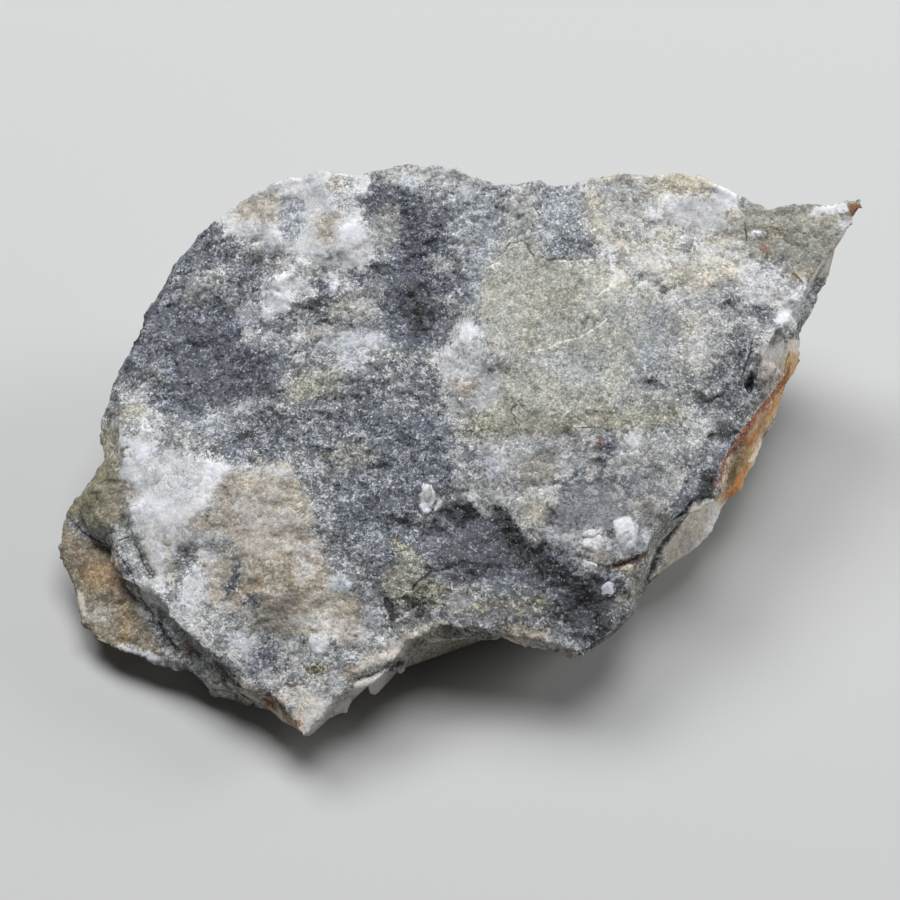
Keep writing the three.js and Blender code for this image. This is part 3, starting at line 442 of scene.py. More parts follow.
    ("middle dark 4", "dense ore", (-6.5, -6, 2.2, 2, 0), 0.9, 0.3, 0.8),
    ("middle veil", "ore", [(-21, 2.6), (-10, 4.6), (-5.5, 5), (-5.5, 1), (-10, 0.2), (-20,
     0.4)], 1.2, 0.5, 1.1),
    ("middle veil 2", "ore", (-1.4, 0.4, 2, 4.4, 0), 0.9, 0.5, 0.9),
    ("middle veil 3", "mixed ore", (1.6, 0.2, 1.5, 2, 0), 0.8, 0.55, 0.8),
    ("foot of left ore", "blue grey", [(-30, 3), (-25, 3.5), (-20.5, 4.8), (-18.8, 4.2),
     (-22.4, 2), (-23.8, -0.2), (-27.5, 0.2), (-29.5, 1)], 0.8, 0.8, 0.9),
    ("foot white vein", "quartz", (0.4, [(-24.5, 3), (-22.5, 3.9), (-20, 4.7), (-18.5, 4.8)]),
     0.5, 0.6, 0.5),
    ("white flake", "bright", [(-2.7, -3.4), (-1.9, -3.5), (-1.5, -4.4), (-2, -6.4), (-2.6,
     -6.6), (-3, -5.8)], 0.15, 0.95, 0.1),
    ("white flake blue", "milky", (-2.4, -5.4, 0.5, 0.8, 10), 0.2, 0.8, 0.1),
    ("flake foot", "quartz", (-2.7, -7, 0.8, 0.5, -20), 0.4, 0.7, 0.4),
    # Painted shadow: a dark wedge of black ore where the white flake's shadow falls; it also sinks a little.
    ("painted flake shadow", "black ore", [(-0.4, -5.4), (-1.2, -6.2), (-2.8, -9.2), (-2.2, -9),
     (-0.4, -6.4)], 0.15, 0.9, 0.1),
    ("lower dark", "dense ore", [(-0.4, -5), (3, -5.5), (5, -6.8), (8, -9.5), (11, -10),
     (14, -12.4), (17.2, -13.6), (18.2, -15), (16.8, -19), (15.2, -21.2), (13, -20.5), (11.2, -16.2),
     (7, -15), (4, -13), (0, -13.5), (-2.6, -12.4), (-3.4, -9.8)], 0.6, 1, 0.8),
    ("lower dark crest", "black ore", (0.8, -6.2, 2.4, 0.9, 12), 0.4, 0.8, 0.6),
    ("lower dark belt", "black", [(3.8, -5.8), (5.2, -5.8), (7.2, -9.6), (9.5, -9.4), (9.8,
     -10.6), (10.6, -11.6), (14, -14), (11, -14.6), (8.6, -13.2), (5, -9.8), (4.8, -8)], 0.4, 0.8, 0.7),
    ("lower dark grey", "mixed ore", (0, -10.2, 2.4, 1.6, 0), 0.7, 0.45, 0.7),
    ("lower dark end", "black ore", [(10.5, -12.5), (15, -14), (17.6, -14.2), (17.2, -16.2),
     (15.6, -20), (13.8, -20.2), (12.2, -18.4), (10.6, -15.6)], 0.6, 0.8, 0.8),
    ("lower dark body", "black ore", [(-0.4, -7), (3.4, -6.2), (5, -9), (8, -11), (9, -14),
     (5, -14), (2, -13), (-1, -11)], 0.8, 0.45, 0.9),
    ("lower pale spot", "pale host", (3.4, -6.2, 0.9, 0.7, 0), 0.4, 0.7, 0.5),
    ("left quartz", "quartz", [(-33.8, 2.5), (-31, 4.6), (-26.4, 1.8), (-24.4, 0), (-21.4,
     -1.3), (-24.6, -6.6), (-28, -11), (-29, -15), (-30.2, -13), (-31, -9.5), (-32.4, -6.5)], 0.6, 1,
     0.8),
    ("left quartz mottle", "pale host", (-29, 1, 2.2, 1.4, 0), 0.8, 0.7, 0.8),
    ("left quartz cream", "olive clay", (-31.6, 3.8, 1.2, 1, 0), 0.6, 0.6, 0.6),
    ("left quartz top", "host", [(-30.2, 3.4), (-26, 2.6), (-21, -0.2), (-20.6, -2), (-25,
     -1), (-28.5, 0.6)], 0.7, 0.75, 0.8),
    ("left bright 1", "bright", (-31.4, 0, 1.6, 1.2, 0), 0.6, 0.9, 0.6),
    ("left bright 2", "bright", [(-31, -3), (-28.5, -5.5), (-25, -5), (-22.8, -2), (-21.5,
     -1.2), (-22.8, -3.8), (-25, -6.8), (-28, -8), (-30, -7)], 0.7, 0.9, 0.6),
    ("left edge white", "bright", [(-33.4, -2), (-32.2, -1.2), (-30.8, -2.6), (-30.6, -5),
     (-31.6, -6.6), (-32.6, -5.6)], 0.5, 0.85, 0.8),
    ("left grey 2", "host", (-31.9, 2.2, 1.3, 0.9, 0), 0.6, 0.6, 0.6),
    ("left bright 3", "bright", (-23.7, -1.6, 1.3, 1.4, 0), 0.6, 0.7, 0.6),
    ("left ore tongue", "ore", (-22, -0.2, 2.6, 1.2, -10), 0.8, 0.7, 0.9),
    ("left glass", "grey glass", (-27.8, -3.2, 2.2, 0.9, 0), 0.7, 0.55, 0.7),
    ("left grey", "grey glass", (-29.8, -1.6, 1.4, 0.8, 0), 0.7, 0.35, 0.7),
    ("left pink", "tan", (-32, -4, 0.9, 0.7, 0), 0.5, 0.8, 0.4),
    ("left lower vein", "quartz", [(-31, -8), (-28.5, -8), (-28, -11), (-28.5, -15), (-30,
     -14), (-30.8, -11)], 0.7, 0.8, 0.6),
    ("tan field", "tan", [(-21.4, -2), (-18.8, -1.2), (-15.8, -1.6), (-14.8, -3.6), (-13.6,
     -8), (-11.8, -12), (-8.8, -15.4), (-7.8, -17.4), (-9.8, -19), (-20, -19), (-24, -16.2), (-25,
     -11), (-27, -9.5), (-24.6, -6.8), (-23.2, -4)], 0.7, 1, 0.9),
    ("tan arm", "tan", (0.5, [(-22.4, -3.2), (-24.4, -6), (-26.8, -8.4)]), 0.6, 0.5, 0.7),
    ("tan pink 1", "pink", (-18.8, -7, 4, 1.6, -5), 1, 0.7, 0.8),
    ("tan pink 2", "pink", (-18.5, -9.8, 3.2, 0.8, -8), 0.8, 0.6, 0.7),
    ("tan pale 3", "quartz", (-20.2, -5.8, 2.4, 0.8, 0), 0.7, 0.4, 0.7),
    ("tan brown 1", "brown tan", (-22.2, -3.8, 1.2, 0.6, 40), 0.6, 0.7, 0.6),
    ("tan brown 2", "brown tan", [(-20.6, -11), (-15, -10.6), (-12, -13), (-13, -15.8),
     (-17, -16.2), (-20.2, -15)], 1, 0.42, 0.9),
    ("tan brown 4", "brown tan", (-16, -11.4, 2.6, 1.2, 0), 0.8, 0.6, 0.8),
    ("tan pink 4", "pink", (-16.2, -15.4, 2, 0.9, -10), 0.7, 0.6, 0.7),
    ("tan brown 3", "brown tan", (-23.8, -7.2, 2.2, 0.6, 10), 0.6, 0.5, 0.6),
    ("tan white 1", "bright", (-24, -10.6, 1.1, 0.7, 0), 0.4, 0.8, 0.4),
    ("tan white 4", "quartz", (-24.4, -9.4, 1.8, 0.8, 0), 0.6, 0.65, 0.6),
    ("tan blue", "milky", (-10.8, -13.2, 1.4, 1.2, 40), 0.7, 0.8, 0.6),
    ("tan blue 2", "milky", (-14.4, -10.6, 1.2, 1.6, 0), 0.8, 0.4, 0.7),
    ("tan pale top", "quartz", (-18.8, -2, 2.4, 0.6, -10), 0.5, 0.7, 0.5),
    ("tan dark 1", "ore", (-26.2, -10.3, 0.8, 1.1, -10), 0.6, 0.75, 0.6),
    ("tan dark side", "quartz", (-25.6, -8.7, 1.7, 0.7, 0), 0.5, 0.8, 0.5),
    ("tan pale 2", "quartz", (-17.8, -7, 2.2, 0.8, 0), 0.7, 0.4, 0.6),
    ("tan end dark", "ore", (-10.6, -11, 1.3, 1.1, 0), 0.6, 0.5, 0.7),
    ("tan dark 2", "ore", (0.45, [(-21.2, -11.6), (-21.6, -12.8), (-22, -14), (-22.4, -14.8)]),
     0.5, 0.9, 0.4),
    ("tan dark 3", "ore", (-19.7, -15.3, 0.9, 0.6, 0), 0.4, 0.9, 0.4),
    ("tan grey", "blue grey", (-22.8, -9.8, 1.4, 1, 0), 0.7, 0.5, 0.6),
    ("tan rim", "brown tan", (0.4, [(-28.2, -9), (-28.2, -11), (-27.8, -13.4)]), 0.6, 0.5, 0.5),
    ("left white body", "bright", [(-26.8, -12.2), (-25, -11.6), (-24.2, -13), (-24.2,
     -15.4), (-25.8, -16.2), (-27.2, -14.8)], 0.6, 0.8, 0.5),
    ("left white rim", "quartz", (-28.2, -16, 1.6, 1, 0), 0.8, 0.6, 0.6),
    ("white vein low", "quartz", (0.3, [(-22.5, -15.4), (-21, -16), (-19.8, -17.2)]), 0.4, 0.7,
     0.4),
    ("low mixed", "pale host", [(-29, -16.4), (-24, -15.8), (-13.8, -19.2), (-10.6, -21.4),
     (-9.8, -24), (-12, -25.6), (-15, -26.2), (-18, -24.4), (-21, -23.4), (-26.6, -20.6)], 0.7, 0.9,
     0.7),
    ("low dark 5", "mixed ore", (-18.2, -21.4, 1.8, 1.2, -10), 0.7, 0.8, 0.7),
    ("low grey", "host", (-22.4, -18.4, 1.6, 1.5, 0), 0.7, 0.7, 0.7),
    ("low dark 1", "ore", (-18.6, -19.8, 1.1, 1.2, 20), 0.6, 0.8, 0.6),
    ("low dark 2", "mixed ore", (0.6, [(-23.8, -21), (-22.2, -21.8), (-20.4, -23), (-18.8,
     -24)]), 0.5, 0.7, 0.5),
    ("low dark 3", "mixed ore", (-15.8, -23.4, 1.6, 0.6, 10), 0.5, 0.7, 0.5),
    ("low dark 4", "mixed ore", (-10.5, -21.2, 1.6, 0.8, 20), 0.6, 0.6, 0.6),
    ("low shade", "host", (-22, -16.8, 2, 0.9, 0), 0.7, 0.55, 0.7),
    ("low white 1", "bright", (-12.8, -19.3, 1.4, 1, 25), 0.5, 0.95, 0.4),
    ("low white 2", "milky", (-20.4, -19, 1.4, 1, 0), 0.7, 0.6, 0.6),
    ("low white 3", "quartz", (-12, -17.2, 2.4, 0.8, 0), 0.8, 0.4, 0.7),
    ("low dark 7", "dense ore", (-18.4, -22, 1.9, 1.2, -20), 0.7, 0.65, 0.7),
    ("low blue", "milky", (-7.8, -16.2, 1, 1.8, 0), 0.7, 0.55, 0.6),
    ("low yellow", "olive", (-13.4, -21.8, 1, 0.5, 0), 0.4, 0.8, 0.3),
    ("front tooth stone", "tooth", [(-18, -26.2), (-16, -26.6), (-13.8, -24), (-12, -25),
     (-12.2, -30.2), (-15, -30.6), (-18.8, -28.2)], 0.5, 0.85, 0.4),
    # Tan spots on the front edge, painted lighter as well to stand for light on faces that turn down and to
    # the left.
    ("front spots", "tan", [(-24.4, -21.4), (-21, -23), (-17.5, -25), (-16, -26.8), (-18.2,
     -26.6), (-21.4, -24.4)], 0.5, 0.8, 0.6),
    ("front edge pale", "rim pale", (0.5, [(-25.4, -23), (-22, -25), (-18.8, -26.6), (-16,
     -28.4)]), 0.5, 0.6, 0.6),
    ("front spots 2", "tan", (-15, -25, 1.8, 1.2, -30), 0.6, 0.6, 0.6),
    ("front spots orange 2", "orange", (-17.8, -25.6, 0.8, 0.4, 40), 0.3, 0.6, 0.3),
    ("front spots orange 3", "orange", (-15.3, -27.2, 0.8, 0.3, -30), 0.3, 0.6, 0.3),
    ("olive field", "olive clay", [(-6.4, -12.2), (-4.6, -9.6), (0, -14), (5, -14.2), (9,
     -16.2), (6, -17.2), (0, -17.6), (-5.4, -17.2), (-6.8, -15)], 0.8, 0.6, 1.1),
    ("front veil", "dense ore", [(-2.2, -13.6), (2, -13), (7, -13.4), (10.6, -14.4), (11,
     -18), (-5.2, -17.2), (-5, -15.6)], 1, 0.75, 1.1),
    ("front veil 2", "black ore", (9, -14.8, 2, 1.1, 0), 0.7, 0.5, 0.7),
    ("front olive", "olive", (2.8, -15, 4.8, 1, 0), 0.7, 0.6, 0.9),
    ("olive yellow", "olive", (-2.6, -14.6, 1.6, 1.2, 0), 0.6, 0.6, 0.6),
    ("olive yellow 2", "olive", (-5.4, -9.5, 0.8, 0.8, 0), 0.5, 0.6, 0.4),
    ("olive green", "olive", (8.4, -15.6, 1.8, 1.2, 0), 0.7, 0.4, 0.7),
    ("olive tan", "brown tan", (3, -15.4, 2.6, 0.6, 0), 0.7, 0.25, 0.7),
    ("olive shade", "ore", (5.6, -14, 2.6, 1, 0), 0.7, 0.6, 0.9),
    ("olive grey", "grey glass", (0.6, -15, 1.4, 0.8, 0), 0.6, 0.5, 0.6),
    ("front cream", "cream", [(-11, -22.2), (-4, -17.8), (-1, -17.2), (2, -18), (-1, -19.8),
     (-4.6, -20.8), (-10, -23.6)], 0.6, 0.6, 0.6),
    ("front cream pale", "quartz", (-6.4, -19, 2.6, 0.8, -20), 0.7, 0.6, 0.5),
    ("front peach", "pink", (0.5, [(-9.8, -22.2), (-7.4, -21.4), (-4.8, -20), (-3, -19.2)]),
     0.5, 0.7, 0.4),
    ("front grey", "host", [(0, -17.4), (5, -16.8), (6, -19), (2, -19.5), (-0.2, -19)], 0.6,
     0.8, 0.6),
    ("front brown", "brown tan", [(5, -17.6), (9, -17.4), (10.2, -19), (8, -20.2), (5.5,
     -19.8)], 0.6, 0.75, 0.6),
    ("front milky", "milky", (10.6, -19.2, 1.6, 0.6, 0), 0.5, 0.6, 0.5),
    # The front edge's pale lip: its own pale colour, and painted light where it curves under into shade.
    ("front pink edge", "rim pale", (0.4, [(-1, -19), (3, -19.3), (7, -19.5), (9.8, -19.8),
     (12.6, -20)]), 0.4, 0.6, 0.4),
    ("front dark corner", "dense ore", [(12, -16.2), (17, -14.6), (16.2, -19), (14.6,
     -21.4), (12.4, -20.6)], 0.5, 0.7, 0.5),
    ("front dark veil", "black ore", (13.6, -16.8, 3.8, 2.2, -8), 0.8, 0.85, 0.8),
    ("front dark veil 2", "black", (14.4, -16.2, 2.8, 1.6, -8), 0.7, 0.5, 0.8),
    ("teeth", "tooth", [(-12, -25), (-9.2, -23), (-7.4, -22.6), (-4.6, -20.8), (-2.6,
     -20.2), (-2.6, -24), (-5, -26.5), (-7.8, -27.2), (-9.8, -29), (-12.4, -30.6), (-13, -28.5)], 0.25,
     1, 0.1),
    # Painted shade: a grey streak down the tooth's right face, which is turned from the light.
    ("tooth shade 1", "grey glass", (0.4, [(-12, -25.4), (-11.6, -26.6), (-12, -28.6)]), 0.4,
     0.7, 0.1),
    # The front crack and a painted shadow: a wide smoky band along the crack that also darkens the shade
    # above the teeth.
    ("front crack", "smoke", (0.34, [(-10.6, -24), (-9.8, -23), (-8.2, -22.4), (-6.6, -21.8),
     (-5.4, -21.2)]), 0.4, 0.85, 0.3),
    ("slope", "slope", [(-36, 2.5), (-33.6, 2), (-32.2, -5), (-32.6, -7.4), (-35, -7.8),
     (-39, -7), (-39, -4.5), (-36.2, -3), (-36.4, 0)], 0.8, 1, 1.3),
    ("slope pale", "cream", (-34.3, 0.8, 0.9, 1.7, 0), 0.6, 0.75, 0.7),
    ("slope tongue", "tan", (-33.2, -5, 0.8, 1.4, -10), 0.5, 0.6, 0.7),
    ("terrace", "crust", [(-40, -7), (-33.8, -9.6), (-32.6, -12.8), (-28.6, -20.5), (-31,
     -22.2), (-35, -20.5), (-38, -17), (-38.8, -12.5), (-40, -9.5)], 0.5, 1, 0.5),
    ("terrace orange 2", "orange", (-32.6, -18, 0.6, 1.8, -4), 0.6, 0.55, 0.7),
    ("terrace orange 3", "orange", [(-36.6, -10.6), (-33.2, -11.2), (-33, -13.5), (-34.6,
     -14.2), (-36.6, -13.4)], 0.8, 0.6, 0.9),
    ("terrace cream", "tan", (-34.6, -16.6, 1.6, 1.1, 0), 0.5, 0.75, 0.5),
    ("terrace white", "rim pale", [(-37.3, -14), (-36.7, -14.6), (-36.4, -15.6), (-36.2,
     -16.6), (-36.8, -16.6), (-37.3, -15.4)], 0.2, 0.95, 0.1),
    # A white patch at the terrace's lower edge, made brighter as painted light on a face that turns down.
    ("terrace white 2", "bright", [(-33.4, -19.7), (-32, -19.5), (-30.4, -20), (-29.2,
     -20.6), (-29.4, -21.2), (-31.4, -21)], 0.4, 0.85, 0.5),
    ("between", "pale host", [(-33.8, -7.8), (-31, -9), (-29, -16.2), (-26.6, -20), (-28,
     -20.2), (-30, -17)], 0.6, 0.9, 0.6),
    ("between pale", "quartz", (0.5, [(-32, -10.6), (-31, -14), (-29.8, -15.6)]), 0.6, 0.6, 0.5),
    # Painted light: a quartz patch that lightens the crack zone below the terrace, where the step's shade
    # falls.
    ("between pale 2", "quartz", (-30.2, -15, 1, 1.8, 30), 0.5, 0.7, 0.6),
    ("terrace crack", "smoke", (0.45, [(-38.4, -6.6), (-37.6, -7.7), (-36.6, -8.4), (-35.4,
     -9.2), (-34, -9.6), (-33.2, -10.4), (-32.4, -11.6), (-31.7, -13), (-31.2, -14.6), (-30.4, -15.6),
     (-29.6, -16.6)]), 0.4, 0.35, 0.3),
    ("inner crack", "smoke", (0.3, [(-31.8, -9.2), (-31.1, -10), (-30.7, -11.2), (-29.9,
     -12.5)]), 0.3, 0.6, 0.3),
    ("low crack", "mixed ore", (0.6, [(-29.8, -16.6), (-29, -18.2), (-28, -19.6), (-26.4,
     -20.6)]), 0.5, 0.6, 0.5),
    ("low crack black", "black", (0.3, [(-29, -17.2), (-28.4, -19), (-27, -20), (-25.4,
     -20.2)]), 0.4, 0.5, 0.4),
    ("terrace brown 2", "rust", (-37.4, -9.8, 0.7, 0.4, -20), 0.3, 0.35, 0.3),
    ("foot brown", "rust", (-26.4, -19.8, 1, 0.6, -20), 0.4, 0.5, 0.4),
    ("steep side", "mixed ore", [(27.2, 2.9), (29.8, 2.6), (27.6, -1.2), (26.8, -4.2),
     (24.4, -5.5), (21, -10.3), (18.6, -16.2), (16.6, -19), (14, -21.4), (14.6, -18), (18.8, -11.6),
     (25.8, 1)], 0.4, 0.9, 0.3),
    ("steep pale", "grey glass", (0.5, [(27, 0.6), (25.4, -2), (23.4, -5), (21.4, -8.2), (20,
     -10.6)]), 0.4, 0.6, 0.2),
    ("steep green", "slope", (0.6, [(21.8, -7), (19.8, -11), (18.4, -14), (17.2, -15.4)]), 0.5,
     0.5, 0.3),
    ("steep black 1", "black", [(25.4, -2.8), (26.3, -2.6), (26.6, -3.8), (26.1, -4.9),
     (24.2, -5.2)], 0.3, 0.85, 0.3),
    ("steep black 2", "black", (27.6, 1.6, 1.6, 0.8, 15), 0.5, 0.6, 0.4),
    ("steep dark", "dense ore", (26.2, -1.6, 0.8, 1.4, 20), 0.5, 0.5, 0.4),
    ("steep dark 2", "black ore", (25.7, -3.2, 0.9, 1.6, 20), 0.5, 0.8, 0.5),
    ("steep dark 3", "dense ore", (23.6, -1.6, 0.8, 1.4, 20), 0.5, 0.6, 0.5),
    ("steep dark 4", "black", (25.7, -3.5, 0.8, 1.5, 15), 0.4, 0.8, 0.4),
    ("rim cream", "rim pale", [(34, 11.2), (35.6, 11), (35.8, 6.6), (29.6, -5), (27.8,
     -7.6), (26.6, -5.8), (27.6, -1), (29.2, 0.2), (31, 3.6), (33.2, 6.6)], 0.2, 1, 0.2),
    ("rim amber", "rim tan", (0.9, [(34.4, 8.8), (34, 6.4), (32.2, 3.6), (30.6, 1), (29.2,
     -1.6), (28.6, -4), (27.6, -5.6)]), 0.5, 0.9, 0.4),
    ("rim olive", "rust", (28.1, -2.2, 0.5, 1.7, -10), 0.4, 0.55, 0.4),
    ("rim glow", "orange", (0.5, [(33.6, 7), (31.8, 4.4), (30, 1.2), (28.8, -1.2)]), 0.6, 0.6, 0.5),
    # The pale ledge: its own pale colour, painted lighter as well to stand for light on the right flank.
    ("ledge", "rim pale", [(24.4, -5.4), (26.6, -5), (28, -6.4), (26.8, -9), (25.6, -10.6),
     (20.6, -13.8), (19.4, -14), (20.4, -11.2)], 0.25, 0.95, 0.3),
    ("ledge white", "bright", [(26.2, -5.6), (27.4, -6.4), (26.6, -8.4), (24.8, -10.2), (24,
     -9.6), (25.6, -7.4)], 0.4, 0.7, 0.4),
    ("ledge peach", "pink", (24, -9, 1.8, 0.9, 45), 0.5, 0.6, 0.5),
    ("ledge foot", "pale host", (20.5, -11.4, 0.9, 1.2, -20), 0.5, 0.7, 0.4),
    ("neck crack", "black", (0.16, [(24.2, -5.2), (22.6, -7.7), (21, -9.8), (20.5, -11), (19.8,
     -13), (19, -15.6)]), 0.2, 0.85, 0.1),
)

# Rise or sink of single masses, in mm.
RISES = {
    "centre lump": 0.12,
    "centre lump 2": 0.1,
    "grain A": 0.2,
    "grain B": 0.25,
    "grain C": 0.15,
    "grain E": 0.2,
    "grain F": 0.15,
    "white flake": 0.4,
    # The painted shadow beside the white flake also sinks.
    "painted flake shadow": -0.35,
    "black hole": -0.5,
    "terrace crack": -0.35,
    "inner crack": -0.4,
    "neck crack": -0.4,
    "red crack": -0.3,
    "front crack": -0.3,
    "low crack": -0.3,
    "right boss": 0.25,
    "left blob": 0.3,
    "left white body": 0.2,
    "low white 1": 0.2,
    "bright upper quartz": 0.2,
    "cream bump": 0.2,
    "clay": 0.15,
}

# Colours of cracks, scratches and thin seams, and of a painted highlight and shadow along the clay seam,
# in steps up to 255. And their paths: name, colour, and points with the half width there, in mm across
# and up the face.
INKS = {
    "black": (34, 32, 32),
    "jet": (34, 34, 37),
    "shade": (78, 78, 80),
    "brown": (78, 56, 40),
    "rust": (138, 76, 34),
    "orange": (190, 118, 50),
    "white": (214, 208, 200),
    "cream": (224, 214, 194),
    "scratch": (216, 216, 209),
    "olive": (120, 106, 66),
}

